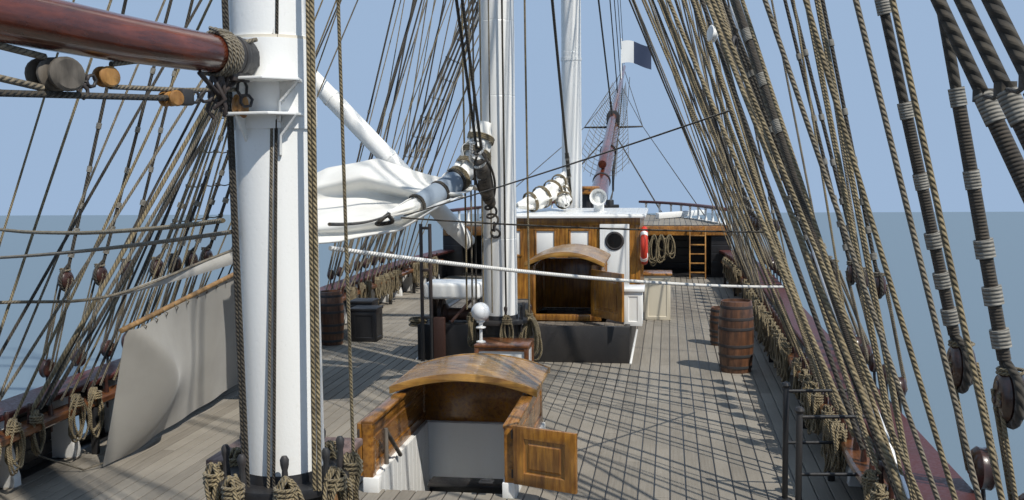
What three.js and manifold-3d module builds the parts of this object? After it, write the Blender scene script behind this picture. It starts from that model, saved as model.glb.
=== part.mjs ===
// Three-masted barque of the 1840s, built as a 1:2 model. Millimetres, +X bow, +Y port, +Z up.
// Everything below is written in full-size metres and the whole group is scaled once at the end.
// Deck things are laid out in the deck frame: X along the deck, Y port, H above the main deck,
// which rises DECK_SLOPE towards the bow, so that the masts rake aft by the same angle.
import * as THREE from 'three';
import { mergeVertices } from 'three/addons/utils/BufferGeometryUtils.js';
import Module from 'manifold-3d';

const wasm = await Module();
wasm.setup();
const { Manifold, Mesh } = wasm;

// Driving dimensions, full-size metres
const SCALE = 500; // 1:2 model in millimetres
const GAP = 0.001; // clearance between neighbouring pieces
const STERN = -18.3;
const BOW = 18.3;
const HALF_BEAM = 3.95;
const TRANSOM_HALF = 2.45;
const TAPER_X = 6; // the sides run parallel between -TAPER_X and TAPER_X
const KEEL_Z = -3.2;
const KEEL_DEPTH = 0.35;
const KEEL_HALF = 0.15;
const DECK_Z = 2.13; // main deck above the water at midships
const DECK_SLOPE = Math.atan(0.0349);
const POOP_X = -10.9; // break of the poop
const POOP_H = 1.2;
const FORE_X = 11.9; // break of the forecastle
const FORE_H = 1.28;
const RAIL_H = 0.68; // top of the cap rail
const POST_X = -16.4; // after face of the sternpost
const MAST_R = 0.22;
const MAST_TOP_R = 0.205;
const TOPMAST_AHEAD = 0.42;
const TOPGALLANT_AHEAD = 0.3;
const SPRIT_BASE = [17.7, 2.0]; // x and height of the bowsprit's axis over the stem
const TIP = [35.0, 6.9]; // end of the jib boom
const SPRIT_CAP_X = 25.2;
const JIB_UP = 0.44; // jib boom's axis above the bowsprit's
const BOOM_SWING = 10; // degrees to port at which the boom lies

const MATERIALS = {
  black: [0x17181a, 0.55, 0],
  white: [0xe9e8e2, 0.4, 0],
  maroon: [0x5a1f1c, 0.45, 0],
  varnish: [0x9a5a22, 0.4, 0],
  redwood: [0x74301c, 0.35, 0],
  rope: [0x3a2f26, 0.9, 0],
  canvas: [0xdcd9cf, 0.9, 0],
  ochre: [0xb07a36, 0.5, 0],
};

// heights above the deck; trees is where the crosstrees sit, head the topmast's own head
const MASTS = {
  fore: { x: 8.9, ring: 0.95, hounds: 11.2, cap: 13.1, trees: 16.9, head: 18.2, truck: 24.6 },
  main: { x: -0.6, ring: 0.85, hounds: 11.8, cap: 13.8, trees: 17.9, head: 19.3, truck: 26.6 },
  mizzen: { x: -7.7, ring: 1.08, hounds: 11.2, cap: 12.8, trees: 16.9, head: 0, truck: 21.9 },
};
const MZ = MASTS.mizzen.x;

// Solids
function solid(shape) {
  if (shape instanceof Manifold) return shape;
  const bare = shape.clone();
  bare.deleteAttribute('normal');
  bare.deleteAttribute('uv');
  const merged = mergeVertices(bare, 1e-6);
  const points = merged.attributes.position.array;
  const faces = Array.from(merged.index.array);
  const [a, b, c] = [0, 1, 2].map(() => new THREE.Vector3());
  let volume = 0;
  for (let i = 0; i < faces.length; i += 3) {
    a.fromArray(points, 3 * faces[i]);
    b.fromArray(points, 3 * faces[i + 1]);
    c.fromArray(points, 3 * faces[i + 2]);
    volume += a.dot(b.cross(c));
  }
  if (volume < 0) for (let i = 0; i < faces.length; i += 3) [faces[i], faces[i + 1]] = [faces[i + 1], faces[i]];
  return new Manifold(new Mesh({
    numProp: 3,
    vertProperties: new Float32Array(points),
    triVerts: new Uint32Array(faces),
  }));
}
const join = (...shapes) => shapes.flat().map(solid).reduce((a, b) => a.add(b));
const cut = (shape, ...tools) => tools.flat().map(solid).reduce((a, b) => a.subtract(b), solid(shape));

const box = (x0, x1, y0, y1, z0, z1) =>
  new THREE.BoxGeometry(x1 - x0, y1 - y0, z1 - z0).translate((x0 + x1) / 2, (y0 + y1) / 2, (z0 + z1) / 2);
// round bar from a to b, radius ra at a and rb at b
function rod(a, b, ra, rb = ra, sides = 6) {
  const start = new THREE.Vector3(...a);
  const along = new THREE.Vector3(...b).sub(start);
  const bar = new THREE.CylinderGeometry(rb, ra, along.length(), sides).translate(0, along.length() / 2, 0);
  const turn = new THREE.Quaternion().setFromUnitVectors(new THREE.Vector3(0, 1, 0), along.normalize());
  return bar.applyQuaternion(turn).translate(start.x, start.y, start.z);
}
// upright round bar, with its facets in the same places at every radius
const post = (x, y, z0, z1, r0, r1 = r0, sides = 16) =>
  new THREE.CylinderGeometry(r1, r0, z1 - z0, sides).rotateX(Math.PI / 2).translate(x, y, (z0 + z1) / 2);
const outline = (points) => new THREE.Shape(points.map(([u, v]) => new THREE.Vector2(u, v)));
const extruded = (points, depth) => new THREE.ExtrudeGeometry(outline(points), { depth, bevelEnabled: false });
// flat outline [x, z] extruded from y0 to y1
const plateXZ = (points, y0, y1) => extruded(points, y1 - y0).rotateX(Math.PI / 2).translate(0, y1, 0);
// flat outline [y, z] extruded from x0 to x1
const plateYZ = (points, x0, x1) => extruded(points, x1 - x0)
  .applyMatrix4(new THREE.Matrix4().set(0, 0, 1, x0, 1, 0, 0, 0, 0, 1, 0, 0, 0, 0, 0, 1));
// flat outline [x, y] extruded from z0 to z1
const plateXY = (points, z0, z1) => extruded(points, z1 - z0).translate(0, 0, z0);
// skin over equal rings of points, closed at both ends; flat(point) gives the end caps in 2-D
function loft(rings, flat) {
  const n = rings[0].length;
  const faces = [];
  for (let i = 0; i + 1 < rings.length; i++) {
    for (let j = 0; j < n; j++) {
      const a = i * n + j;
      const b = i * n + (j + 1) % n;
      faces.push(a, b, b + n, a, b + n, a + n);
    }
  }
  for (const [ring, first] of [[0, true], [rings.length - 1, false]]) {
    const round = rings[ring].map((p) => new THREE.Vector2(...flat(p)));
    const ccw = THREE.ShapeUtils.area(round) > 0;
    for (const [a, b, c] of THREE.ShapeUtils.triangulateShape(round, [])) {
      faces.push(...(ccw === first ? [a, c, b] : [a, b, c]).map((i) => i + ring * n));
    }
  }
  const skin = new THREE.BufferGeometry();
  skin.setAttribute('position', new THREE.Float32BufferAttribute(rings.flat().flat(), 3));
  skin.setIndex(faces);
  return skin;
}
const steps = (a, b, n) => Array.from({ length: n + 1 }, (_, i) => a + (b - a) * i / n);
// spar that lies across the ship at [x, z], through [y, radius] places
const spar = (x, z, places) => loft(places.map(([y, r]) => steps(0.5, 7.5, 7).map((i) => {
  const angle = i * Math.PI / 4;
  return [x + r * Math.cos(angle), y, z + r * Math.sin(angle)];
})), (p) => [p[0], p[2]]);

// half breadth of the ship at the deck edge
function half(x) {
  if (x > TAPER_X) {
    const t = (x - TAPER_X) / (BOW - TAPER_X);
    return HALF_BEAM * Math.pow(Math.max(0, 1 - Math.pow(t, 2.6)), 0.62);
  }
  const t = Math.max(0, (-TAPER_X - x) / (-TAPER_X - STERN));
  return HALF_BEAM - (HALF_BEAM - TRANSOM_HALF) * Math.pow(t, 1.9);
}
const side = (x0, x1, s, n) => steps(x0, x1, n).map((x) => [x, s * half(x)]);
const inset = (path, d) => path.map(([x, y]) => [x, Math.sign(y) * (Math.abs(y) - d)]);
// a moulding along a line of [x, y] points; profile is [outboard, height], out is +1 or -1
function moulding(path, profile, out, rise = () => 0) {
  const rings = path.map(([x, y], i) => {
    const before = path[Math.max(0, i - 1)];
    const after = path[Math.min(path.length - 1, i + 1)];
    const run = Math.hypot(after[0] - before[0], after[1] - before[1]);
    const nx = -(after[1] - before[1]) / run * out;
    const ny = (after[0] - before[0]) / run * out;
    return profile.map(([o, h]) => Object.assign([x + nx * o, y + ny * o, h + rise(x)], { flat: [o, h] }));
  });
  return loft(rings, (p) => p.flat);
}
const rect = (o0, o1, h0, h1) => [[o0, h0], [o1, h0], [o1, h1], [o0, h1]];

// Nodes
const root = new THREE.Group();
const DECK = new THREE.Matrix4().makeRotationY(-DECK_SLOPE).setPosition(0, 0, DECK_Z);
const WATER = new THREE.Matrix4();
const onDeck = (shape) => solid(shape).transform(Array.from(DECK.elements));
function add(name, shape, material, frame = DECK) {
  const out = solid(shape).getMesh();
  const geometry = new THREE.BufferGeometry();
  geometry.setAttribute('position', new THREE.Float32BufferAttribute(Array.from(out.vertProperties), 3));
  geometry.setIndex(Array.from(out.triVerts));
  const flat = geometry.applyMatrix4(frame).toNonIndexed();
  flat.computeVertexNormals();
  const [color, roughness, metalness] = MATERIALS[material];
  const mesh = new THREE.Mesh(flat, new THREE.MeshStandardMaterial({ color, roughness, metalness }));
  mesh.name = name;
  root.add(mesh);
}
const SIDES = [['port', 1], ['starboard', -1]];

// Hull, in the water's frame
const deckZ = (x) => DECK_Z + Math.tan(DECK_SLOPE) * x;
function smooth(t) {
  const u = Math.min(1, Math.max(0, t));
  return u * u * (3 - 2 * u);
}
// one section, from the deck edge down to the floor and up the other side
function section(x, floor, n = 11) {
  const breadth = Math.max(half(x), 0.12);
  const fore = smooth((x - 3) / 15);
  const aft = smooth((-2 - x) / 14);
  const fine = x > 3 ? 0.62 : x < POST_X ? 0.6 : 4.2;
  const right = steps(0, 1, n).map((t) => {
    const s = Math.pow(t, 1.35);
    const full = Math.pow(1 - Math.pow(1 - s, 3.2), 0.42);
    const w = fore || aft;
    return [x, Math.max(0.1, breadth * ((1 - w) * full + w * Math.pow(s, fine))), floor + (deckZ(x) - floor) * s];
  });
  return [...right.slice().reverse(), ...right.map(([px, y, z]) => [px, -y, z])];
}
const yz = (p) => [p[1], p[2]];
const STEM_X = 15.6; // where the keel turns up into the stem
const floorZ = (x) => (x < STEM_X ? KEEL_Z
  : KEEL_Z + (deckZ(BOW) - KEEL_Z - 0.1) * Math.pow((x - STEM_X) / (BOW - STEM_X), 1.6));
const STATIONS = [...steps(POST_X, -8, 7), ...steps(-5, 8, 4), ...steps(9.5, 15.5, 5), ...steps(16, 18.2, 5)];
const COUNTER_X = POST_X + 0.05;
const body = loft(STATIONS.map((x) => section(x, floorZ(x))), yz);
const counter = loft(steps(STERN, COUNTER_X, 4).map((x) => section(x, 0.5 + (COUNTER_X - x) * 0.3, 5)), yz);
const keel = box(POST_X - 0.3, STEM_X + 0.1, -KEEL_HALF, KEEL_HALF, KEEL_Z - KEEL_DEPTH, KEEL_Z + 0.3);
const sternpost = box(POST_X - 0.3, POST_X + 0.1, -KEEL_HALF, KEEL_HALF, KEEL_Z - KEEL_DEPTH, 0.7);
// [x, z] round the knee of the head
const cutwater = plateXZ([[15.2, KEEL_Z - KEEL_DEPTH], [16.2, KEEL_Z - 0.1], [17.6, -1.2], [18.5, 0.6], [19.1, 1.7],
  [20.6, 2.95], [20.5, 3.15], [18.9, 2.7], [18.15, 2.6], [17.6, 0.5], [16.4, -1.8], [15.2, KEEL_Z]], -0.13, 0.13);
// stairwells: x0, x1, y0, y1
const AFT_WELL = [-4.62, -2.8, -0.72, 0.42];
const MID_WELL = [1.7, 2.8, -1.02, -0.16];
const WELL_FLOOR = -1.7;
const well = ([x0, x1, y0, y1]) => onDeck(box(x0, x1, y0, y1, WELL_FLOOR, 0.3));
add('hull', cut(join(body, counter, keel, sternpost, cutwater), well(AFT_WELL), well(MID_WELL)), 'black', WATER);

// Poop and forecastle, decked blocks that stand on the main deck
const sheer = (x) => 0.035 * Math.max(0, POOP_X - x);
const poopTop = (x) => POOP_H + sheer(x);
const deckBlock = (x0, x1, h, n, rise = () => 0) => loft(steps(x0, x1, n).map((x) => {
  const b = Math.max(half(x), 0.12);
  return [[x, b, GAP], [x, b, h + rise(x)], [x, -b, h + rise(x)], [x, -b, GAP]];
}), yz);
const spritSlope = (TIP[1] - SPRIT_BASE[1]) / (TIP[0] - SPRIT_BASE[0]);
// point on the bowsprit's axis, or up above it
const sprit = (x, up = 0) => [x, 0, SPRIT_BASE[1] + (x - SPRIT_BASE[0]) * spritSlope + up];
add('poop', deckBlock(STERN, POOP_X, POOP_H, 6, sheer), 'black');
// open space under each side of the forecastle deck: depth and [inner, outer] half breadths
const RECESS_DEPTH = 1.6;
const RECESS = [0.5, 3.1];
const recess = ([, s]) => box(FORE_X - 1, FORE_X + RECESS_DEPTH, Math.min(s * RECESS[0], s * RECESS[1]),
  Math.max(s * RECESS[0], s * RECESS[1]), 0.06, FORE_H - 0.2);
add('forecastle', cut(deckBlock(FORE_X, 18.2, FORE_H, 8), rod(sprit(13.4), sprit(20), 0.275, 0.275, 12),
  SIDES.map(recess)), 'black');

// Bulwarks with their knees and freeing ports, cap rails and pin rails
const KNEE_STEP = 0.92;
const CAP_UNDER = RAIL_H - 0.06;
const PIN_SHELF = [0.48, 0.56]; // heights of the pin rail's faces
for (const [name, s] of SIDES) {
  const path = side(POOP_X + GAP, FORE_X - GAP, s, 13);
  const knees = [];
  const ports = [];
  for (let x = POOP_X + 0.45, i = 0; x < FORE_X - 0.3; x += KNEE_STEP, i++) {
    const b = half(x);
    const knee = [[b - 0.05, GAP], [b - 0.34, GAP], [b - 0.27, 0.38], [b - 0.22, 0.61], [b - 0.05, 0.61]];
    knees.push(plateYZ(knee.map(([y, h]) => [s * y, h]), x - 0.06, x + 0.06));
    if (i % 3 === 1) ports.push(box(x + 0.2, x + 0.72, s * b - 0.4, s * b + 0.4, 0.06, 0.3));
  }
  const wall = moulding(path, rect(-0.11, 0, GAP, CAP_UNDER - GAP), s);
  add(`bulwark_${name}`, cut(join(wall, knees), ports), 'black');
  add(`cap_rail_${name}`, moulding(path, rect(-0.3, 0.08, CAP_UNDER, RAIL_H), s), 'maroon');
  const shelf = moulding(side(-9.8, 10.6, s, 14), rect(-0.52, -0.3, ...PIN_SHELF), s);
  const pins = [];
  for (let x = -9.3; x < 10.3; x += KNEE_STEP) {
    const y = s * (half(x) - 0.43);
    pins.push(rod([x, y, PIN_SHELF[0] - 0.14], [x, y, PIN_SHELF[1] + 0.17], 0.018, 0.022, 4));
  }
  add(`pin_rail_${name}`, join(shelf, pins), 'varnish');
}

// Poop rail: posts and a sill under one cap, open by the ladders
const POOP_RAIL = [2.08, 2.15]; // heights of the cap's faces at the break
const AFT_RAIL_X = STERN + 0.12;
const BREAK_RAIL_X = POOP_X - 0.25;
const railPost = (x, y, foot, top) => rod([x, y, foot], [x, y, top], 0.045, 0.045, 5);
const capUnder = (x) => POOP_RAIL[0] + 0.02 + sheer(x);
const sidePosts = SIDES.flatMap(([, s]) => inset(side(BREAK_RAIL_X, AFT_RAIL_X, s, 6), 0.12))
  .map(([x, y]) => railPost(x, y, poopTop(x) + 0.004, capUnder(x)));
const aftPosts = steps(-1.7, 1.7, 4).map((y) => railPost(AFT_RAIL_X, y, poopTop(AFT_RAIL_X) + 0.004, capUnder(STERN)));
const breakPosts = [-2.5, -1.7, -0.85, 0, 0.85, 1.7, 2.5].map((y) =>
  railPost(BREAK_RAIL_X, y, POOP_H + 0.03, POOP_RAIL[0] + 0.02));
const sideCap = SIDES.map(([, s]) => moulding(inset(side(POOP_X - 0.15, AFT_RAIL_X, s, 6), 0.1),
  rect(-0.1, 0.1, ...POOP_RAIL), 1, sheer));
const aftCap = box(AFT_RAIL_X - 0.1, AFT_RAIL_X + 0.1, -2.4, 2.4, ...POOP_RAIL.map((h) => h + sheer(AFT_RAIL_X)));
const breakCap = [[-2.6, 2.6], [3.0, 3.5], [-3.5, -3.0]].map(([y0, y1]) =>
  box(BREAK_RAIL_X - 0.1, BREAK_RAIL_X + 0.1, y0, y1, ...POOP_RAIL));
const sill = box(BREAK_RAIL_X - 0.06, BREAK_RAIL_X + 0.06, -3.5, 3.5, poopTop(BREAK_RAIL_X - 0.06) + GAP, POOP_H + 0.06);
add('poop_rail', join(sideCap, aftCap, breakCap, sill, sidePosts, aftPosts, breakPosts), 'maroon');

// Low rails round the forecastle
const BOW_RAIL = [1.62, 1.69];
for (const [name, s] of SIDES) {
  const posts = inset(side(FORE_X + 0.2, 17.2, s, 6), 0.12).map(([x, y]) => railPost(x, y, FORE_H + GAP, BOW_RAIL[0] + 0.03));
  const cap = moulding(inset(side(FORE_X + 0.1, 17.4, s, 7), 0.1), rect(-0.1, 0.1, ...BOW_RAIL), s);
  add(`forecastle_rail_${name}`, join(cap, posts), 'maroon');
}

// Lower masts with their tops, caps and pin rings, and the upper masts, each in one piece
const TOP_HALF = 1.25;
const PINS = 8;
// lighter stays, each in one piece with its topmast: height on the mast, x, height and radius of the lower end;
// those that start above TREES_RISE over the crosstrees leave the topgallant mast
const TREES_RISE = 0.5;
const onJibBoom = (x) => sprit(x, JIB_UP + 0.16);
const LIGHT_STAYS = {
  fore: [[16.5, onJibBoom(28.6), 0.022], [17.9, onJibBoom(31.2), 0.018], [20.5, onJibBoom(33.2), 0.015], [23.9, onJibBoom(34.7), 0.013]],
  main: [[17.5, [8.6, 0, 12.0], 0.02], [19.0, [9.1, 0, 13.9], 0.016], [22.3, [9.1, 0, 17.4], 0.014], [25.8, [9.48, 0, 20.4], 0.012]],
  mizzen: [[13.2, [-0.9, 0, 9.1], 0.018], [16.8, [-0.85, 0, 12.6], 0.016], [21.4, [-0.45, 0, 17.2], 0.012]],
};
for (const [name, m] of Object.entries(MASTS)) {
  const { x, ring, hounds, cap, trees, head, truck } = m;
  const tx = x + TOPMAST_AHEAD;
  const gx = tx + TOPGALLANT_AHEAD;
  // cheeks under the top and the thinner doubling that carries the cap
  const cheek = plateXZ([[x - 0.3, hounds - GAP], [x + 0.62, hounds - GAP], [x + 0.24, hounds - 0.75],
    [x - 0.24, hounds - 0.75]], -0.26, 0.26);
  const capPlate = cut(box(x - 0.26, tx + 0.26, -0.24, 0.24, cap - 0.3, cap),
    post(tx, 0, cap - 0.5, cap + 0.5, 0.15 + GAP));
  const platform = cut(plateXY([[x - 0.75, -TOP_HALF], [x + 0.2, -TOP_HALF], [x + 0.85, -0.7], [x + 1.0, 0],
    [x + 0.85, 0.7], [x + 0.2, TOP_HALF], [x - 0.75, TOP_HALF]], hounds, hounds + 0.1),
  box(x + MAST_R, tx + 0.2, -0.18, 0.18, hounds - 1, hounds + 1));
  const foot = hounds + 0.02;
  const lightStays = LIGHT_STAYS[name].map(([h, low, r]) =>
    rod([head && h > trees + TREES_RISE ? gx : tx, 0, h], low, r, r, 6));
  if (head) {
    const treeBars = [[-0.45, 0.62, -0.22, -0.12], [-0.45, 0.62, 0.12, 0.22], [-0.3, -0.2, -0.85, 0.85], [0.5, 0.6, -0.7, 0.7]]
      .map(([x0, x1, y0, y1], i) => box(tx + x0, tx + x1, y0, y1, trees - (i < 2 ? 0.1 : 0.06), trees + (i < 2 ? 0 : 0.04)));
    add(`${name}_topmast`, join(post(tx, 0, foot, trees, 0.15, 0.13, 12), post(tx, 0, trees - 0.1, head, 0.11, 0.1, 12),
      treeBars, post(tx, 0, trees - 0.3, trees - 0.05, 0.14, 0.2),
      box(tx - 0.17, gx + 0.17, -0.15, 0.15, head - 0.18, head), post(gx, 0, trees - 0.05, head, 0.095, 0.095, 10),
      post(gx, 0, head - 0.05, truck, 0.095, 0.045, 10), post(gx, 0, truck - 0.02, truck + 0.06, 0.09, 0.07, 10),
      lightStays), 'ochre');
  } else {
    add(`${name}_topmast`, join(post(tx, 0, foot, cap + 0.6, 0.15), post(tx, 0, cap + 0.5, truck, 0.14, 0.05, 12),
      post(tx, 0, truck - 0.02, truck + 0.06, 0.1, 0.08, 12), box(tx - 0.05, tx + 0.05, -0.6, 0.6, trees - 0.05, trees + 0.03),
      lightStays), 'ochre');
  }
  const pins = steps(0.5, PINS - 0.5, PINS - 1).map((i) => {
    const angle = i * 2 * Math.PI / PINS;
    const [px, py] = [x + Math.cos(angle) * (MAST_R + 0.085), Math.sin(angle) * (MAST_R + 0.085)];
    return rod([px, py, ring - 0.16], [px, py, ring + 0.2], 0.016, 0.02, 4);
  });
  const fittings = [platform, post(x, 0, ring, ring + 0.05, MAST_R + 0.13), post(x, 0, ring - 0.14, ring + 0.02, MAST_R + 0.03)];
  // the mizzen also carries the boom: saddle on two brackets, doubling plate and gooseneck lug
  if (name === 'mizzen') {
    fittings.push(post(x, 0, 2.98, 3.28, MAST_R + 0.02), post(x, 0, 3.29, 3.41, MAST_R + 0.025));
    for (const h of [3.03, 3.2]) fittings.push(box(x - 0.5, x + 0.2, -0.3, 0.3, h, h + 0.04));
    for (const y of [-0.2, 0.17]) fittings.push(plateXZ([[x - 0.48, 3.2], [x, 3.2], [x, 2.7]], y, y + 0.03));
    fittings.push(box(x - 0.33, x - 0.2, -0.03, 0.03, 3.3, 3.4));
  }
  add(`${name}_lower_mast`, join(post(x, 0, GAP, hounds + 0.05, MAST_R, MAST_TOP_R), post(x, 0, hounds, cap, 0.18, 0.17),
    cheek, capPlate, fittings, pins), 'white');
}

// Shrouds and backstays of one side: channel, deadeyes and ropes make one piece.
// feet run to the collar under the top, high to the crosstrees, royal to the upper mast; big is a deadeye's radius,
// span goes from a lower deadeye to the upper one
const RIG = {
  fore: { feet: [8.6, 8.05, 7.5, 6.95, 6.4], high: [5.8, 5.3], royal: [4.8], big: 0.11, span: 0.9 },
  main: { feet: [-0.85, -1.3, -1.75, -2.2], high: [-2.65, -3.2], royal: [-3.75], big: 0.11, span: 0.9 },
  mizzen: { feet: [-10, -10.35, -10.7], high: [-6.12, -7.05], royal: [], big: 0.14, span: 0.7 },
};
const DEADEYE_H = 0.82; // lower deadeye
for (const [mastName, { feet, high, royal, big, span }] of Object.entries(RIG)) {
  const mast = MASTS[mastName];
  const tx = mast.x + TOPMAST_AHEAD;
  for (const [name, s] of SIDES) {
    const all = [...feet, ...high, ...royal];
    const ends = [Math.max(Math.min(...all) - 0.2, POOP_X + 0.1), Math.max(...all) + 0.2];
    const collarH = mast.hounds - (s > 0 ? 0.95 : 1.1);
    const collar = cut(post(mast.x, 0, collarH, collarH + 0.1, MAST_R + 0.06, MAST_R + 0.06, 10),
      post(mast.x, 0, collarH - 1, collarH + 1, MAST_R + 0.02, MAST_R + 0.02, 10));
    const channel = moulding(side(...ends, s, 4), rect(0.012, 0.2, CAP_UNDER - 0.16, CAP_UNDER - 0.08), s);
    const parts = [channel, collar];
    for (const x of all) {
      const y = s * (half(x) + 0.13);
      const lower = feet.includes(x);
      const r = lower && big < 0.12 ? 0.11 : big < 0.12 ? 0.095 : big;
      const tip = lower ? [mast.x + 0.08 - 0.075 * feet.indexOf(x), s * (MAST_R + 0.045), collarH + 0.05]
        : high.includes(x) ? [tx - 0.1 - 0.1 * high.indexOf(x), s * 0.17, mast.trees - 0.2 + 3.6 * (mast.head ? 0 : high.indexOf(x))]
          : [tx + TOPGALLANT_AHEAD, s * 0.1, mast.truck - 3.4];
      const low = new THREE.Vector3(x, y, DEADEYE_H);
      const rise = new THREE.Vector3(...tip).sub(low).normalize();
      const up = low.clone().addScaledVector(rise, span);
      const thick = lower ? 0.022 : big > 0.12 ? 0.03 : 0.018;
      for (const c of [low, up]) parts.push(rod([c.x, c.y - 0.06, c.z], [c.x, c.y + 0.06, c.z], r, r, 6));
      parts.push(rod(low.toArray(), tip, thick, thick, 4), box(x - 0.03, x + 0.03, y - 0.03, y + 0.03, 0.5, DEADEYE_H - 0.05));
    }
    add(`${mastName}_shrouds_${name}`, join(parts), 'rope');
  }
}

// Bowsprit and jib boom
const capZ = sprit(SPRIT_CAP_X)[2];
const spritCap = cut(box(SPRIT_CAP_X - 0.12, SPRIT_CAP_X + 0.12, -0.26, 0.26, capZ - 0.3, capZ + 0.68),
  rod(sprit(SPRIT_CAP_X - 1, JIB_UP), sprit(SPRIT_CAP_X + 1, JIB_UP), 0.143, 0.143, 12));
add('bowsprit', join(rod(sprit(13.6), sprit(SPRIT_CAP_X), 0.27, 0.22, 12), spritCap), 'redwood');
add('jib_boom', rod(sprit(18.9, JIB_UP), sprit(TIP[0], JIB_UP), 0.14, 0.07, 12), 'redwood');

// Main stays: mast, lower end, radius
const STAYS = [
  ['fore', sprit(24.6, JIB_UP + 0.18), 0.028],
  ['main', [8.55, 0, 2.2], 0.028],
  ['mizzen', [MASTS.main.x - 0.3, 0, 1.86], 0.026],
];
for (const [name, low, r] of STAYS) {
  const { x, hounds } = MASTS[name];
  add(`${name}_stay`, rod([x + 0.68, 0, hounds - 0.1], low, r, r, 6), 'rope');
}

// Yards, each swung about its own mast: axis x, height, distance ahead of it, half length, radius, mast's radius
for (const [name, k] of [['fore', 0.93], ['main', 1]]) {
  const m = MASTS[name];
  const tx = m.x + TOPMAST_AHEAD;
  const gx = tx + TOPGALLANT_AHEAD;
  const YARDS = {
    course: [m.x, m.hounds - 1.75, 0.78, 7.3, 0.15, MAST_R],
    topsail: [tx, m.cap + 0.5, 0.5, 6.0, 0.13, 0.145],
    topgallant: [gx, m.head + 0.7, 0.32, 4.3, 0.1, 0.092],
    royal: [gx, m.head + 3.4, 0.27, 3.1, 0.08, 0.08],
  };
  for (const [yard, [x, h, ahead, length, r, mastR]] of Object.entries(YARDS)) {
    const end = length * k;
    const places = [[-end, r * 0.5], [-end * 0.45, r * 0.93], [0, r], [end * 0.45, r * 0.93], [end, r * 0.5]];
    const truss = box(x + mastR + 0.02, x + ahead, -0.07, 0.07, h - 0.07, h + 0.07);
    add(`${name}_${yard}_yard`, join(spar(x + ahead, h, places), truss), 'ochre');
  }
}

// Boom, swung to port, and gaff on the mizzen; both are drawn along -X from the mast's axis
const BOOM_H = 3.35;
const GAFF_H = 8.9;
const boom = join(rod([-0.36, 0, BOOM_H], [-1.2, 0, BOOM_H], 0.088, 0.1, 12),
  rod([-1.18, 0, BOOM_H], [-4.5, 0, BOOM_H + 0.08], 0.1, 0.115, 12),
  rod([-4.48, 0, BOOM_H + 0.08], [-10.4, 0, BOOM_H + 0.22], 0.115, 0.08, 12));
const swing = new THREE.Matrix4().makeRotationZ(-BOOM_SWING * Math.PI / 180).setPosition(MZ, 0, 0);
add('spanker_boom', boom.transform(Array.from(swing.elements)), 'redwood');
add('spanker_gaff', rod([MZ - 0.34, 0, GAFF_H], [MZ - 6.3, 0, GAFF_H + 3.7], 0.1, 0.06, 10), 'redwood');

// Rudder behind the sternpost, in the water's frame, and the steering gear on the poop
const RUDDER = [POST_X - 1.25, POST_X - 0.42];
add('rudder', join(box(...RUDDER, -0.08, 0.08, KEEL_Z - 0.2, -1.1),
  plateXZ([[RUDDER[0], -1.1], [RUDDER[1], -1.1], [RUDDER[1], 0.45], [POST_X - 0.75, 0.45]], -0.08, 0.08)), 'black', WATER);
const WHEEL = { x: -15.0, h: 2.15, rim: 0.55, spoke: 0.72 };
add('wheel_box', box(-16.6, -15.3, -0.42, 0.42, poopTop(-16.6) + GAP, 2.25), 'varnish');
const hub = [WHEEL.x, 0, WHEEL.h];
const spokes = steps(0, 7, 7).map((i) => {
  const angle = i * Math.PI / 4;
  return rod(hub, [WHEEL.x, Math.cos(angle) * WHEEL.spoke, WHEEL.h + Math.sin(angle) * WHEEL.spoke], 0.022, 0.018, 4);
});
const disc = (depth, r, sides) => rod([WHEEL.x - depth, 0, WHEEL.h], [WHEEL.x + depth, 0, WHEEL.h], r, r, sides);
add('steering_wheel', join(cut(disc(0.035, WHEEL.rim, 16), disc(0.1, WHEEL.rim - 0.09, 16)), spokes,
  rod([-15.29, 0, WHEEL.h], [WHEEL.x + 0.08, 0, WHEEL.h], 0.06, 0.06, 10)), 'redwood');

// Companions: an arched roof over y0 to y1, and doors whose own +X runs from the hinge line
function arch([y0, y1], edge, crown, x0, x1, thick) {
  const top = steps(-1, 1, 8).map((t) => [(y0 + y1) / 2 + t * (y1 - y0) / 2, edge + (crown - edge) * (1 - t * t)]);
  return plateYZ([...top, ...top.slice().reverse().map(([y, h]) => [y, h - thick])], x0, x1);
}
function door(name, [hx, hy], [h0, h1], width, angle, material) {
  const leaf = cut(box(0.02, width, -0.02, 0.02, 0, h1 - h0), box(0.1, width - 0.08, 0.008, 0.05, 0.08, h1 - h0 - 0.08));
  const place = new THREE.Matrix4().makeRotationZ(angle * Math.PI / 180).setPosition(hx, hy, h0);
  add(name, leaf.transform(Array.from(place.elements)), material);
}
// After companion: coaming and walls, sliding hood pushed forward, two doors that stand open
const AFT = { x0: -4.7, x1: -2.7, y0: -0.8, y1: 0.5, wall: 0.07, top: 0.63 };
add('aft_companion', join(box(AFT.x0, AFT.x1, AFT.y1 - AFT.wall, AFT.y1, GAP, AFT.top),
  box(AFT.x0, AFT.x1, AFT.y0, AFT.y0 + AFT.wall, GAP, AFT.top),
  box(AFT.x1 - AFT.wall, AFT.x1, AFT.y0, AFT.y1, GAP, AFT.top),
  box(AFT.x0, AFT.x0 + 0.06, AFT.y0, AFT.y1, GAP, 0.13)), 'varnish');
add('aft_companion_hood', arch([AFT.y0 - 0.06, AFT.y1 + 0.06], 0.695, 0.83, -3.67, -2.62, 0.035), 'varnish');
const AFT_DOOR = [0.15, 0.645];
door('aft_companion_door_port', [AFT.x0 - 0.035, AFT.y1 + 0.035], AFT_DOOR, 0.64, 0, 'varnish');
door('aft_companion_door_starboard', [AFT.x0 - 0.035, AFT.y0 + 0.01], AFT_DOOR, 0.6, -111, 'varnish');

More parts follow.
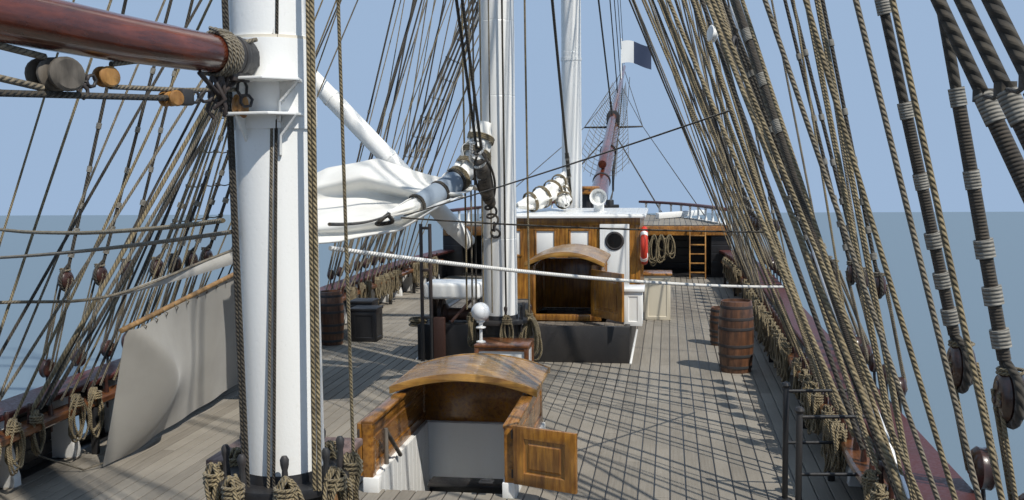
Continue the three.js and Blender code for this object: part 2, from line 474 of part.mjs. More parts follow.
// Main hatch coaming with the middle companion on it
const HATCH_H = 0.53;
add('main_hatch', cut(box(1.08, 3.9, -1.54, 1.5, GAP, HATCH_H), box(...MID_WELL, -1, 1)), 'black');
const MID = { x0: 1.55, x1: 2.95, y0: -1.12, y1: -0.06, h0: HATCH_H + GAP, h1: 1.34, wall: 0.06 };
const MID_DOORWAY = [-0.97, -0.17];
add('mid_companion', cut(box(MID.x0, MID.x1, MID.y0, MID.y1, MID.h0, MID.h1),
  box(MID.x0 + MID.wall, MID.x1 - MID.wall, MID.y0 + MID.wall, MID.y1 - MID.wall, 0, 3),
  box(MID.x0 - 1, MID.x0 + 0.5, ...MID_DOORWAY, MID.h0 + 0.09, 3)), 'varnish');
add('mid_companion_roof', arch([MID.y0 - 0.05, MID.y1 + 0.05], MID.h1 + 0.036 + GAP, MID.h1 + 0.2, MID.x0 - 0.08, MID.x1 + 0.05,
  0.035), 'varnish');
door('mid_companion_door', [MID.x0 - 0.03, MID_DOORWAY[0]], [MID.h0 + 0.09, 1.29], 0.78, -141, 'varnish');

// Deckhouse, hollow, with its roof, door and cut windows
const HOUSE = { x0: 5.7, x1: 8.2, y0: -1.56, y1: 1.28, h: 1.8, wall: 0.06 };
const aftWindows = [-0.44, 0.2, 0.84].map((y) => box(HOUSE.x0 - 0.1, HOUSE.x0 + 0.2, y - 0.17, y + 0.17, 1.12, 1.56));
const sideWindows = [HOUSE.y0, HOUSE.y1].flatMap((y) =>
  [6.5, 7.4].map((x) => box(x - 0.2, x + 0.2, y - 0.2, y + 0.2, 1.1, 1.5)));
const HOUSE_DOOR = [-1.36, -0.82];
add('deckhouse', cut(box(HOUSE.x0, HOUSE.x1, HOUSE.y0, HOUSE.y1, GAP, HOUSE.h), box(HOUSE.x0 + HOUSE.wall, HOUSE.x1 - HOUSE.wall,
  HOUSE.y0 + HOUSE.wall, HOUSE.y1 - HOUSE.wall, -1, 3), aftWindows, sideWindows,
box(HOUSE.x0 - 0.1, HOUSE.x0 + 0.2, HOUSE_DOOR[0] + 0.01, HOUSE_DOOR[1] - 0.01, 0.1, 1.68)), 'varnish');
add('deckhouse_roof', box(HOUSE.x0 - 0.1, HOUSE.x1 + 0.1, HOUSE.y0 - 0.1, HOUSE.y1 + 0.1, HOUSE.h + GAP, HOUSE.h + 0.09), 'white');
const PORTHOLE = [(HOUSE_DOOR[0] + HOUSE_DOOR[1]) / 2, 1.38];
add('deckhouse_door', cut(box(HOUSE.x0 - 0.045, HOUSE.x0 - 0.005, ...HOUSE_DOOR, 0.09, 1.69),
  rod([HOUSE.x0 - 1, ...PORTHOLE], [HOUSE.x0 + 1, ...PORTHOLE], 0.14, 0.14, 12)), 'white');

// Pump box abaft the main mast, and the capstan on the forecastle
add('pump_box', box(-1.62, -1.12, -0.5, 0.14, GAP, 0.74), 'white');
const CAPSTAN_X = 13.0;
add('capstan', join(post(CAPSTAN_X, 0, FORE_H + GAP, FORE_H + 0.1, 0.4, 0.4, 12),
  post(CAPSTAN_X, 0, FORE_H + 0.08, FORE_H + 0.8, 0.26, 0.19, 12),
  post(CAPSTAN_X, 0, FORE_H + 0.75, FORE_H + 0.95, 0.34, 0.34, 12)), 'black');

// Derrick spar, the awning spread over it, the weather cloth and the stowed staysail
add('derrick', rod([-0.5, 0.36, 1.79], [-0.62, 2.55, 4.12], 0.12, 0.11, 10), 'white');
// awning: [y, height of its after edge, of its ridge and of its fore edge]
const AWNING = [[0.2, 2.45, 2.56, 2.5], [0.75, 2.12, 2.68, 2.62], [1.4, 2.0, 2.9, 2.8], [2.0, 1.98, 2.78, 2.7], [2.5, 1.95, 2.55, 2.4]];
const AWNING_X = [-2.6, -1.15, -0.85]; // after edge, ridge and fore edge
const CLOTH = 0.02;
add('awning', loft(AWNING.map(([y, ...h]) => [...h.map((z, i) => [AWNING_X[i], y, z]),
  ...h.map((z, i) => [AWNING_X[i], y, z + CLOTH]).reverse()]), (p) => [p[0], p[2]]), 'canvas');
add('weather_cloth', plateXZ([[-4.35, 0.05], [-0.3, 0.2], [-0.3, 1.75], [-4.35, 1.32]], 3.0, 3.0 + CLOTH), 'canvas');
add('mizzen_staysail', rod([-1.05, 0.15, 3.02], [-2.75, 0.75, 2.3], 0.14, 0.09, 8), 'canvas');

root.scale.setScalar(SCALE);
root.updateMatrixWorld(true);
export default root;
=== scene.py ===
# Three-masted barque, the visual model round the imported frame.
# Pieces are laid out in full-size metres in the deck frame (X along the deck to the bow, Y port,
# H above the main deck) and put into the half-size row frame by DECK; SEA is the same for heights
# above the water.
import random
from math import atan, copysign, cos, degrees, hypot, pi, radians, sin, sqrt

import bmesh
import bpy
import numpy as np
from mathutils import Matrix, Vector


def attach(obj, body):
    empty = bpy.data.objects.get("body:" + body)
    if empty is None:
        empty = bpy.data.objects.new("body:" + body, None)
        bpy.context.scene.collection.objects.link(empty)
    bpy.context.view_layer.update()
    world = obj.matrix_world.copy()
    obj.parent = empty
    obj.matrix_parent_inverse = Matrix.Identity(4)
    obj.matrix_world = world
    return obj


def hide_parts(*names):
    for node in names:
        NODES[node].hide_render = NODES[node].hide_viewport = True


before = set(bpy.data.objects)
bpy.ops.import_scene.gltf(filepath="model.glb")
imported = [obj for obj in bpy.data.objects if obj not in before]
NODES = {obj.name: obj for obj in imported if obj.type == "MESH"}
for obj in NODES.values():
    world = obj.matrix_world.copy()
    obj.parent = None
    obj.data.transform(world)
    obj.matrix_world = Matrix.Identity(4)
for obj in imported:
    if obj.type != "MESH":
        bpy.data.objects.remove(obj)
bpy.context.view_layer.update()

# Driving dimensions, the same as the solids' own
SCALE = 0.5
SLOPE = atan(0.0349)
DECK_Z = 2.13
STERN, BOW = -18.3, 18.3
HALF_BEAM, TRANSOM_HALF = 3.95, 2.45
POOP_X, POOP_H, POOP_RISE = -10.9, 1.2, 0.035
FORE_X, FORE_H = 11.9, 1.28
MAST_R, MAST_TOP_R = 0.22, 0.205
MIZZEN_X, MAIN_X, FOREMAST_X = -7.7, -0.6, 8.9
TOPMAST_AHEAD, TOPGALLANT_AHEAD, JIB_UP = 0.42, 0.3, 0.44
PLANK = 0.135
PLANK_LENGTH, PLANK_SHIFT = 5.6, 2.31
TURN = 2 * pi
UP = Vector((0, 0, 1))
ROPE_PITCH = 3.2
DOOR_THICK = 0.038
RUN_DOWN = (1, 1, 0.25)
# after and middle stairwells, as x and y spans
WELLS = ((-4.62, -2.72, -0.72, 0.42), (1.1, 3.9, -1.5, 1.46))

SEA = Matrix.Scale(SCALE, 4)
DECK = SEA @ Matrix.Translation((0, 0, DECK_Z)) @ Matrix.Rotation(-SLOPE, 4, "Y")

# Camera: the photograph's place on the poop and its angles
CAMERA_PLACE = (-6.445, -1.04, 2.241)
CAMERA_ANGLES = (87.105, 0.345, -81.093)
CAMERA_LENS = 35.16

# Light: a clear sky, and the sun high on the starboard quarter; SUN_WAY is where its light goes
SKY_COLOR, SKY_STRENGTH = (0.42, 0.58, 0.82, 1), 0.8
SUN_WAY, SUN_COLOR = (0.55, 0.62, -1.0), (1, 0.95, 0.86)
SUN_STRENGTH, SUN_WIDTH = 4.4, 0.8


def half(x):
    """Half breadth of the ship at the deck edge."""
    if x > 6:
        return HALF_BEAM * max(0.0, 1 - ((x - 6) / (BOW - 6)) ** 2.6) ** 0.62
    if x < -6:
        return HALF_BEAM - (HALF_BEAM - TRANSOM_HALF) * ((-6 - x) / (-6 - STERN)) ** 1.9
    return HALF_BEAM


def sheer(x):
    """Rise of the poop's deck towards the stern."""
    return POOP_RISE * max(0.0, POOP_X - x)


def spread(a, b, n):
    """n + 1 even steps from a to b."""
    return [a + (b - a) * i / n for i in range(n + 1)]


# Finishes

class Finish:
    """A material whose node tree is built step by step round one shader."""

    def __init__(self, name, color, rough=0.5, metal=0.0, coat=0.0, sheen=0.0):
        self.mat = bpy.data.materials.new(name)
        self.mat.use_nodes = True
        self.tree = self.mat.node_tree
        self.shader = self.tree.nodes["Principled BSDF"]
        self.set("Base Color", (*color, 1))
        self.set("Roughness", rough)
        self.set("Metallic", metal)
        self.set("Coat Weight", coat)
        self.set("Coat Roughness", 0.12)
        self.set("Sheen Weight", sheen)

    def set(self, socket, value):
        self.shader.inputs[socket].default_value = value

    def node(self, kind, **props):
        n = self.tree.nodes.new(kind)
        for key, value in props.items():
            setattr(n, key, value)
        return n

    def join(self, a, b):
        self.tree.links.new(a, b)

    def object_coords(self, stretch=(1, 1, 1)):
        """Full-size metres in the deck frame, then stretched."""
        coords = self.node("ShaderNodeTexCoord").outputs["Object"]
        deck = self.node("ShaderNodeMapping", vector_type="TEXTURE")
        deck.inputs["Location"].default_value = (0, 0, DECK_Z * SCALE)
        deck.inputs["Rotation"].default_value = (0, -SLOPE, 0)
        deck.inputs["Scale"].default_value = (SCALE, SCALE, SCALE)
        self.join(coords, deck.inputs["Vector"])
        if stretch == (1, 1, 1):
            return deck.outputs["Vector"]
        grow = self.node("ShaderNodeMapping")
        grow.inputs["Scale"].default_value = stretch
        self.join(deck.outputs["Vector"], grow.inputs["Vector"])
        return grow.outputs["Vector"]

    def noise(self, vector, scale, detail=4.0, rough=0.55):
        n = self.node("ShaderNodeTexNoise")
        n.inputs["Scale"].default_value = scale
        n.inputs["Detail"].default_value = detail
        n.inputs["Roughness"].default_value = rough
        self.join(vector, n.inputs["Vector"])
        return n.outputs["Fac"]

    def ramp(self, value, stops):
        """stops is a list of (place, grey or colour)."""
        n = self.node("ShaderNodeValToRGB")
        ramp = n.color_ramp
        while len(ramp.elements) < len(stops):
            ramp.elements.new(0.5)
        for element, (place, tone) in zip(ramp.elements, stops):
            element.position = place
            element.color = (tone, tone, tone, 1) if isinstance(tone, (int, float)) else (*tone, 1)
        self.join(value, n.inputs["Fac"])
        return n.outputs["Color"]

    def math(self, operation, a, b=0.0):
        n = self.node("ShaderNodeMath", operation=operation)
        for socket, value in zip(n.inputs, (a, b)):
            if isinstance(value, (int, float)):
                socket.default_value = value
            else:
                self.join(value, socket)
        return n.outputs["Value"]

    def mix(self, factor, a, b, blend="MIX"):
        n = self.node("ShaderNodeMix", data_type="RGBA", blend_type=blend)
        sockets = [s for s in n.inputs if s.enabled]
        for socket, value in zip(sockets, (factor, a, b)):
            if isinstance(value, (int, float)):
                socket.default_value = value
            elif isinstance(value, tuple):
                socket.default_value = (*value, 1)
            else:
                self.join(value, socket)
        return [s for s in n.outputs if s.enabled][0]

    def axes(self, vector):
        n = self.node("ShaderNodeSeparateXYZ")
        self.join(vector, n.inputs["Vector"])
        return n.outputs["X"], n.outputs["Y"], n.outputs["Z"]

    def color(self, value):
        self.join(value, self.shader.inputs["Base Color"])

    def roughness(self, value):
        self.join(value, self.shader.inputs["Roughness"])

    def bump(self, height, strength=0.3, distance=0.01):
        n = self.node("ShaderNodeBump")
        n.inputs["Strength"].default_value = strength
        n.inputs["Distance"].default_value = distance
        self.join(height, n.inputs["Height"])
        self.join(n.outputs["Normal"], self.shader.inputs["Normal"])


def paint(name, color, dirt, rough=0.38, dirt_amount=0.5, coat=0.0):
    """Brushed paint over wood or steel with dirt that runs down it."""
    f = Finish(name, color, rough, coat=coat)
    at = f.object_coords(RUN_DOWN)
    blotch = f.ramp(f.noise(at, 2.6, 6), [(0.45, 0.0), (0.8, dirt_amount)])
    fine = f.noise(f.object_coords(), 45, 3)
    f.color(f.mix(blotch, color, dirt))
    f.roughness(f.ramp(fine, [(0.3, rough * 0.8), (0.7, min(1, rough * 1.35))]))
    f.bump(fine, 0.12, 0.004)
    return f.mat


def timber(name, dark, light, rough=0.35, coat=0.3, grain=(1.2, 14, 14)):
    """Varnished or bare wood; the grain runs along the axis with the smallest stretch."""
    f = Finish(name, light, rough, coat=coat)
    at = f.object_coords(grain)
    lines = f.noise(at, 3.0, 8, 0.62)
    cloud = f.noise(f.object_coords(), 3.2, 4)
    fibre = f.ramp(lines, [(0.32, dark), (0.68, light)])
    shade = f.ramp(cloud, [(0.3, 0.45), (0.75, 1.25)])
    f.color(f.mix(1.0, fibre, shade, "MULTIPLY"))
    f.roughness(f.ramp(lines, [(0.3, rough * 1.4), (0.7, rough * 0.8)]))
    f.bump(lines, 0.18, 0.004)
    return f.mat


def deck_timber():
    """Bare weathered planks: each strip and length has its own tone."""
    f = Finish("weathered_deck", (0.2, 0.18, 0.15), 0.8)
    at = f.object_coords()
    x, y, _ = f.axes(at)
    strip = f.math("FLOOR", f.math("DIVIDE", f.math("ADD", y, PLANK / 2), PLANK))
    length = f.math("FLOOR", f.math("DIVIDE", f.math("ADD", x, f.math("MULTIPLY", strip, PLANK_SHIFT)),
        PLANK_LENGTH))
    both = f.node("ShaderNodeCombineXYZ")
    f.join(strip, both.inputs["X"])
    f.join(length, both.inputs["Y"])
    chance = f.node("ShaderNodeTexWhiteNoise", noise_dimensions="3D")
    f.join(both.outputs["Vector"], chance.inputs["Vector"])
    tone = f.ramp(chance.outputs["Value"], [(0.0, (0.165, 0.145, 0.118)), (0.5, (0.215, 0.19, 0.155)),
        (1.0, (0.265, 0.238, 0.198))])
    grain = f.noise(f.object_coords((1.1, 26, 8)), 2.4, 7, 0.65)
    worn = f.mix(f.ramp(grain, [(0.35, 0.0), (0.75, 0.55)]), tone, (0.31, 0.28, 0.235))
    stain = f.ramp(f.noise(at, 0.9, 6, 0.6), [(0.42, 0.0), (0.72, 0.5)])
    f.color(f.mix(stain, worn, (0.11, 0.098, 0.08)))
    f.bump(grain, 0.25, 0.004)
    return f.mat


def hull_paint():
    """Black topsides with a white strake and painted ports, brown-red bottom, planked all over."""
    f = Finish("hull_paint", (0.02, 0.02, 0.022), 0.35)
    at = f.object_coords()
    x, _, h = f.axes(at)
    water = f.axes(f.node("ShaderNodeTexCoord").outputs["Object"])[2]
    strake = f.math("MULTIPLY", f.math("GREATER_THAN", h, -0.95), f.math("LESS_THAN", h, -0.3))
    port_x = f.math("GREATER_THAN", f.math("FRACT", f.math("DIVIDE", f.math("ADD", x, 30), 2.35)), 0.72)
    port_h = f.math("MULTIPLY", f.math("GREATER_THAN", h, -0.87), f.math("LESS_THAN", h, -0.38))
    white = f.math("SUBTRACT", strake, f.math("MULTIPLY", f.math("MULTIPLY", port_x, port_h), strake))
    wear = f.noise(f.object_coords((1, 1, 0.3)), 1.8, 7)
    black = f.ramp(wear, [(0.3, (0.013, 0.013, 0.015)), (0.75, (0.035, 0.034, 0.034))])
    chalk = f.ramp(wear, [(0.35, (0.78, 0.77, 0.73)), (0.8, (0.6, 0.58, 0.53))])
    copper = f.ramp(wear, [(0.3, (0.16, 0.045, 0.03)), (0.75, (0.25, 0.085, 0.055))])
    topsides = f.mix(white, black, chalk)
    f.color(f.mix(f.math("GREATER_THAN", water, 0.06), copper, topsides))
    seam = f.math("PINGPONG", f.math("DIVIDE", h, 0.2), 0.5)
    f.bump(f.math("MINIMUM", f.math("MULTIPLY", seam, 12), 1), 0.4, 0.006)
    return f.mat


def rope_finish(name, dark, light, twist=3.0, pitch=ROPE_PITCH):
    """Laid rope: the strands wind round with the piece's own map, U round and V in diameters."""
    f = Finish(name, light, 0.85, sheen=0.15)
    uv = f.node("ShaderNodeUVMap").outputs["UV"]
    u, v, _ = f.axes(uv)
    lay = f.math("FRACT", f.math("ADD", f.math("MULTIPLY", u, twist), f.math("DIVIDE", v, pitch / twist)))
    crown = f.math("PINGPONG", lay, 0.5)
    mottled = f.noise(f.object_coords(), 22, 4)
    tone = f.ramp(mottled, [(0.3, dark), (0.7, light)])
    # the grooves between the strands are darkened towards a quarter of the dark tone: painted shade
    f.color(f.mix(f.ramp(crown, [(0.0, 0.75), (0.22, 0.0)]), tone, tuple(c * 0.25 for c in dark)))
    f.bump(f.ramp(crown, [(0.0, 0.0), (0.4, 1.0)]), 0.6, 0.006)
    return f.mat


def canvas_finish(name, base, shade):
    """Woven cloth with clouds of a second tone."""
    f = Finish(name, base, 0.85, sheen=0.2)
    at = f.object_coords()
    cloud = f.noise(at, 2.2, 5)
    weave = f.noise(f.object_coords(), 220, 2)
    f.color(f.mix(f.ramp(cloud, [(0.4, 0.0), (0.8, 0.7)]), base, shade))
    f.bump(f.mix(0.35, f.noise(at, 6, 5), weave), 0.25, 0.012)
    return f.mat


WHITE = paint("white_paint", (0.82, 0.82, 0.8), (0.56, 0.53, 0.46), 0.32, 0.22, 0.15)
BLACK = paint("black_paint", (0.018, 0.018, 0.02), (0.07, 0.06, 0.05), 0.4, 0.5)
IRON = paint("tarred_iron", (0.03, 0.03, 0.032), (0.12, 0.06, 0.035), 0.55, 0.6)
MAROON = paint("maroon_paint", (0.075, 0.018, 0.015), (0.04, 0.019, 0.016), 0.5, 0.6, 0.08)
# dark brown that is painted shade: under the hood, inside the middle companion, in the capstan's bar holes
# and on the winch under its cover
SHADE_BROWN = paint("painted_shade_brown", (0.055, 0.025, 0.018), (0.02, 0.015, 0.012), 0.5, 0.6)
RED = paint("lifebuoy_red", (0.6, 0.045, 0.02), (0.4, 0.04, 0.03), 0.45, 0.4)
POLE = timber("scraped_pole", (0.22, 0.12, 0.045), (0.42, 0.25, 0.1), 0.45, 0.2, (10, 10, 0.8))
VARNISH_LONG = timber("varnish_along", (0.17, 0.06, 0.01), (0.47, 0.215, 0.04), 0.28, 0.55, (1.0, 9, 9))
VARNISH_UP = timber("varnish_upright", (0.17, 0.06, 0.01), (0.5, 0.235, 0.042), 0.28, 0.55, (9, 9, 1.0))
REDWOOD = timber("red_varnish", (0.055, 0.011, 0.006), (0.2, 0.045, 0.018), 0.2, 0.8, (0.7, 9, 9))
BLOCKWOOD = timber("block_wood", (0.22, 0.09, 0.02), (0.52, 0.27, 0.07), 0.45, 0.2, (6, 6, 1.5))
GREYWOOD = timber("weathered_block", (0.09, 0.078, 0.066), (0.22, 0.19, 0.155), 0.7, 0.0, (6, 6, 1.5))
LIGNUM = timber("deadeye_wood", (0.025, 0.012, 0.01), (0.075, 0.03, 0.022), 0.3, 0.4, (4, 12, 12))
DECKWOOD = deck_timber()
HULL = hull_paint()
TARRED = rope_finish("tarred_rope", (0.022, 0.018, 0.013), (0.06, 0.049, 0.034))
MANILA = rope_finish("manila_rope", (0.12, 0.092, 0.05), (0.29, 0.23, 0.13))
HEMP = rope_finish("weathered_rope", (0.1, 0.083, 0.056), (0.245, 0.205, 0.145))
SEIZING = rope_finish("grey_seizing", (0.15, 0.138, 0.115), (0.32, 0.3, 0.26), 1.0, 0.2)
FLECKED = rope_finish("flecked_rope", (0.72, 0.7, 0.66), (0.85, 0.83, 0.78), 2.0, 1.6)
CANVAS = canvas_finish("sailcloth", (0.78, 0.77, 0.73), (0.6, 0.58, 0.53))
# the weather cloth's sheet: sailcloth darkened to a dark grey as painted shade
SHADED_SCREEN = canvas_finish("shaded_screen_canvas", (0.3, 0.285, 0.255), (0.22, 0.208, 0.185))
PIN_WOOD = timber("pin_rail_varnish", (0.075, 0.024, 0.008), (0.24, 0.09, 0.026), 0.3, 0.5, (1.0, 9, 9))
CASKWOOD = timber("cask_staves", (0.06, 0.026, 0.014), (0.2, 0.09, 0.045), 0.45, 0.3, (7, 7, 1.0))
MILK = Finish("milk_glass", (0.72, 0.74, 0.76), 0.12, 0.0, 0.7).mat
BLUE_WRAP = canvas_finish("wrap_canvas", (0.22, 0.27, 0.33), (0.15, 0.18, 0.22))
OCHRE_ACROSS = timber("scraped_yard", (0.22, 0.12, 0.045), (0.42, 0.25, 0.1), 0.45, 0.2, (10, 0.8, 10))
HOOD_WOOD = timber("hood_boards", (0.24, 0.105, 0.02), (0.52, 0.29, 0.07), 0.28, 0.5, (9, 1.0, 9))
RUSTY_WHITE = paint("rusty_seam", (0.72, 0.66, 0.55), (0.35, 0.16, 0.06), 0.5, 0.9)
DARK_GLASS = Finish("dark_glass", (0.01, 0.012, 0.014), 0.08, 0.0, 0.6).mat
SERVICE = rope_finish("served_rope", (0.03, 0.024, 0.018), (0.075, 0.058, 0.04), 1.0, 0.25)
BRASS = Finish("brass", (0.65, 0.45, 0.16), 0.3, 1.0).mat
STEEL = Finish("galvanised_steel", (0.72, 0.73, 0.74), 0.35, 0.35).mat

FADED = timber("faded_lid", (0.1, 0.06, 0.05), (0.25, 0.17, 0.145), 0.6, 0.0, (1.0, 9, 9))
SCREEN_PAINT = paint("cream_paint", (0.62, 0.56, 0.44), (0.4, 0.34, 0.25), 0.4, 0.4)
# the weather cloth's folded flap: sailcloth darkened to a mid grey as painted shade
SHADED_FLAP = canvas_finish("shaded_flap_canvas", (0.46, 0.45, 0.42), (0.36, 0.35, 0.32))

# The record's slots that these finishes belong to, unless a piece says otherwise
SLOT_FINISHES = {
    "white_paint": (WHITE, MILK, RUSTY_WHITE),
    "hull_black": (BLACK, IRON),
    "maroon_paint": (MAROON,),
    "red_varnish": (REDWOOD,),
    "ochre_paint": (POLE, OCHRE_ACROSS),
    "varnished_wood": (VARNISH_LONG, VARNISH_UP, HOOD_WOOD, PIN_WOOD, BLOCKWOOD, GREYWOOD, LIGNUM,
                       CASKWOOD),
    "canvas": (CANVAS, SHADED_FLAP, SHADED_SCREEN, BLUE_WRAP),
}
OWN_SLOTS = {finish.name: slot for slot, finishes in SLOT_FINISHES.items() for finish in finishes}


# Making pieces

def deselect():
    """Clears the selection, so that an operator only takes what it makes."""
    for o in bpy.context.selected_objects:
        o.select_set(False)


def pick(*objs):
    """Selects these objects alone, the first of them active."""
    deselect()
    for o in objs:
        o.select_set(True)
    bpy.context.view_layer.objects.active = objs[0]


def applied(obj, kind, **props):
    """Adds a modifier with these settings and applies it."""
    m = obj.modifiers.new(kind.lower(), kind)
    for key, value in props.items():
        setattr(m, key, value)
    pick(obj)
    bpy.ops.object.modifier_apply(modifier=m.name)
    return obj


def block(x0, x1, y0, y1, z0, z1, bevel=0.008, segments=2):
    """Squared timber with eased edges."""
    deselect()
    bpy.ops.mesh.primitive_cube_add(size=1, location=((x0 + x1) / 2, (y0 + y1) / 2, (z0 + z1) / 2))
    obj = bpy.context.active_object
    obj.scale = (x1 - x0, y1 - y0, z1 - z0)
    bpy.ops.object.transform_apply(location=True, rotation=True, scale=True)
    if bevel:
        applied(obj, "BEVEL", width=bevel, segments=segments)
    return obj


def blocks(*rows):
    """A block for each row of measures."""
    return [block(*row) for row in rows]


def bar(a, b, r0, r1=None, sides=24, bevel=0.0):
    """Round bar from a to b."""
    a, b = Vector(a), Vector(b)
    r1 = r0 if r1 is None else r1
    deselect()
    bpy.ops.mesh.primitive_cone_add(vertices=sides, radius1=r0, radius2=r1, depth=(b - a).length,
        location=(a + b) / 2, rotation=UP.rotation_difference(b - a).to_euler())
    obj = bpy.context.active_object
    bpy.ops.object.transform_apply(location=True, rotation=True, scale=True)
    if bevel:
        applied(obj, "BEVEL", width=bevel, segments=2, limit_method="ANGLE", angle_limit=0.9)
    return obj


def shape(points, faces):
    """New mesh object from points and faces."""
    mesh = bpy.data.meshes.new("shape")
    mesh.from_pydata([tuple(p) for p in points], [], faces)
    mesh.update()
    obj = bpy.data.objects.new("shape", mesh)
    bpy.context.scene.collection.objects.link(obj)
    return obj


def turned(profile, at=(0, 0, 0), along=(0, 0, 1), sides=32):
    """Profile of (radius, height) points spun round an axis; ends on the axis are closed."""
    obj = shape([(r, 0, z) for r, z in profile], [])
    mesh = obj.data
    mesh.edges.add(len(profile) - 1)
    for i, edge in enumerate(mesh.edges):
        edge.vertices = (i, i + 1)
    applied(obj, "SCREW", steps=sides, render_steps=sides, use_merge_vertices=True, merge_threshold=1e-5,
        use_smooth_shade=False)
    turn = UP.rotation_difference(Vector(along)).to_matrix().to_4x4()
    mesh.transform(Matrix.Translation(at) @ turn)
    outward(obj)
    return obj


def disc(r, low, high, at=(0, 0, 0), along=(0, 0, 1), sides=32):
    """Plain round plate or band between two places on its axis."""
    return turned([(0, low), (r, low), (r, high), (0, high)], at, along, sides)


def outward(obj):
    """Merges doubles and points every face outwards."""
    bm = bmesh.new()
    bm.from_mesh(obj.data)
    bmesh.ops.remove_doubles(bm, verts=bm.verts, dist=1e-5)
    bmesh.ops.recalc_face_normals(bm, faces=bm.faces)
    bm.to_mesh(obj.data)
    bm.free()
    return obj


def skin(rows, thick=0.0):
    """Sheet through rows of points, as many in each; thick makes it a wall."""
    n = len(rows[0])
    faces = []
    for i in range(len(rows) - 1):
        for j in range(i * n, i * n + n - 1):
            faces.append((j, j + 1, j + 1 + n, j + n))
    obj = shape([p for row in rows for p in row], faces)
    if thick:
        applied(obj, "SOLIDIFY", thickness=thick, offset=0)
    return obj


def loft(rings):
    """Solid through equal closed rings of points, its two ends filled."""
    n = len(rings[0])
    faces = []
    for i in range(len(rings) - 1):
        for j in range(n):
            k = (j + 1) % n
            faces.append((i * n + j, i * n + k, (i + 1) * n + k, (i + 1) * n + j))
    last = (len(rings) - 1) * n
    faces += [tuple(range(n - 1, -1, -1)), tuple(range(last, last + n))]
    return outward(shape([p for ring in rings for p in ring], faces))


def together(objs):
    """One object from several."""
    if len(objs) > 1:
        pick(*objs)
        bpy.ops.object.join()
    return objs[0]


def copies(proto, places):
    """One mesh with proto at each place (matrices); proto is used up."""
    src = proto.data
    verts = np.empty(len(src.vertices) * 3)
    src.vertices.foreach_get("co", verts)
    verts = verts.reshape(-1, 3)
    polys = [tuple(p.vertices) for p in src.polygons]
    smooth = [p.use_smooth for p in src.polygons]
    all_v, all_f = [], []
    for k, m in enumerate(places):
        m = np.array(m)
        all_v.append(verts @ m[:3, :3].T + m[:3, 3])
        off = k * len(verts)
        all_f.extend(tuple(i + off for i in p) for p in polys)
    obj = shape(np.concatenate(all_v).tolist(), all_f)
    obj.data.polygons.foreach_set("use_smooth", smooth * len(places))
    for m in src.materials:
        obj.data.materials.append(m)
    bpy.data.objects.remove(proto)
    return obj


def at(x, y, z, turn=0.0):
    """Place matrix, turned about the upright by these degrees."""
    return Matrix.Translation((x, y, z)) @ Matrix.Rotation(radians(turn), 4, "Z")


def smooth(obj, angle):
    """Shades smooth where faces meet under this angle (degrees)."""
    pick(obj)
    bpy.ops.object.shade_smooth_by_angle(angle=radians(angle))
    return obj


def piece(obj, name, material, body="ship", slot="own", where=DECK, replaces=(), round_under=35):
    """Finishes a piece, or several as one: its place goes into its mesh, and it gets its name, material and
    body; its slot, the material's own if none is given, is worked out but not kept."""
    if isinstance(obj, list):
        obj = together(obj)
    obj.name = name
    obj.data.name = name
    obj.data.transform(where)
    obj.data.materials.clear()
    obj.data.materials.append(material)
    if round_under:
        smooth(obj, round_under)
    if slot == "own":
        slot = OWN_SLOTS.get(material.name)
    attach(obj, body)
    if replaces:
        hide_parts(*replaces)
    return obj


def sag(a, b, drop=0.0, n=8):
    """Points from a to b that hang by drop in the middle."""
    a, b = Vector(a), Vector(b)
    return [a.lerp(b, t) + Vector((0, 0, -4 * drop * t * (1 - t))) for t in spread(0, 1, n)]


def tube(runs, radius, sides=6, lobes=0.0):
    """One mesh of ropes along runs of points; the map holds U round and V in diameters.
    lobes raises three strands by that share of the radius, one turn in ROPE_PITCH diameters."""
    verts, faces, uvs = [], [], []
    for run in runs:
        r = radius
        if isinstance(run, tuple):
            run, r = run
        pts = [Vector(p) for p in run]
        start = len(verts)
        v = 0.0
        for i, p in enumerate(pts):
            ahead = pts[min(i + 1, len(pts) - 1)] - pts[max(i - 1, 0)]
            ahead.normalize()
            if i:
                normal = (normal - ahead * normal.dot(ahead)).normalized()
                length = (p - pts[i - 1]).length / (2 * r)
                v += length
            else:
                side_way = UP if abs(ahead.z) < 0.9 else Vector((1, 0, 0))
                normal = ahead.cross(side_way).normalized()
            cross = ahead.cross(normal)
            for k in range(sides):
                a = TURN * k / sides
                rr = r * (1 + lobes * cos(3 * (a - TURN * v / ROPE_PITCH))) if lobes else r
                verts.append(p + normal * (rr * cos(a)) + cross * (rr * sin(a)))
            if i:
                base = start + (i - 1) * sides
                for k in range(sides):
                    j = (k + 1) % sides
                    faces.append((base + k, base + j, base + sides + j, base + sides + k))
                    u0, u1 = k / sides, (k + 1) / sides
                    uvs.append(((u0, v - length), (u1, v - length), (u1, v), (u0, v)))
        last = start + (len(pts) - 1) * sides
        faces.append(tuple(start + k for k in reversed(range(sides))))
        faces.append(tuple(last + k for k in range(sides)))
        uvs.append(tuple((0, 0) for _ in range(sides)))
        uvs.append(tuple((0, v) for _ in range(sides)))
    obj = shape(verts, faces)
    layer = obj.data.uv_layers.new(name="UVMap")
    flat = [c for face in uvs for pair in face for c in pair]
    layer.data.foreach_set("uv", flat)
    return obj


def rope(runs, name, radius, material, body="ship", sides=6, replaces=(), lobes=0.0, where=DECK,
         slot=None):
    """Piece made of ropes; a run is its points, or its points and its own radius."""
    return piece(tube(runs, radius, sides, lobes), name, material, body, slot, where, replaces, 80)


# The camera, light and floor

def set_camera():
    data = bpy.data.cameras.new("photo_camera")
    data.lens = CAMERA_LENS
    data.sensor_width = 36
    data.clip_start = 0.02
    data.clip_end = 400
    camera = bpy.data.objects.new("photo_camera", data)
    camera.location = CAMERA_PLACE
    camera.rotation_euler = [radians(a) for a in CAMERA_ANGLES]
    bpy.context.scene.collection.objects.link(camera)
    bpy.context.scene.camera = camera


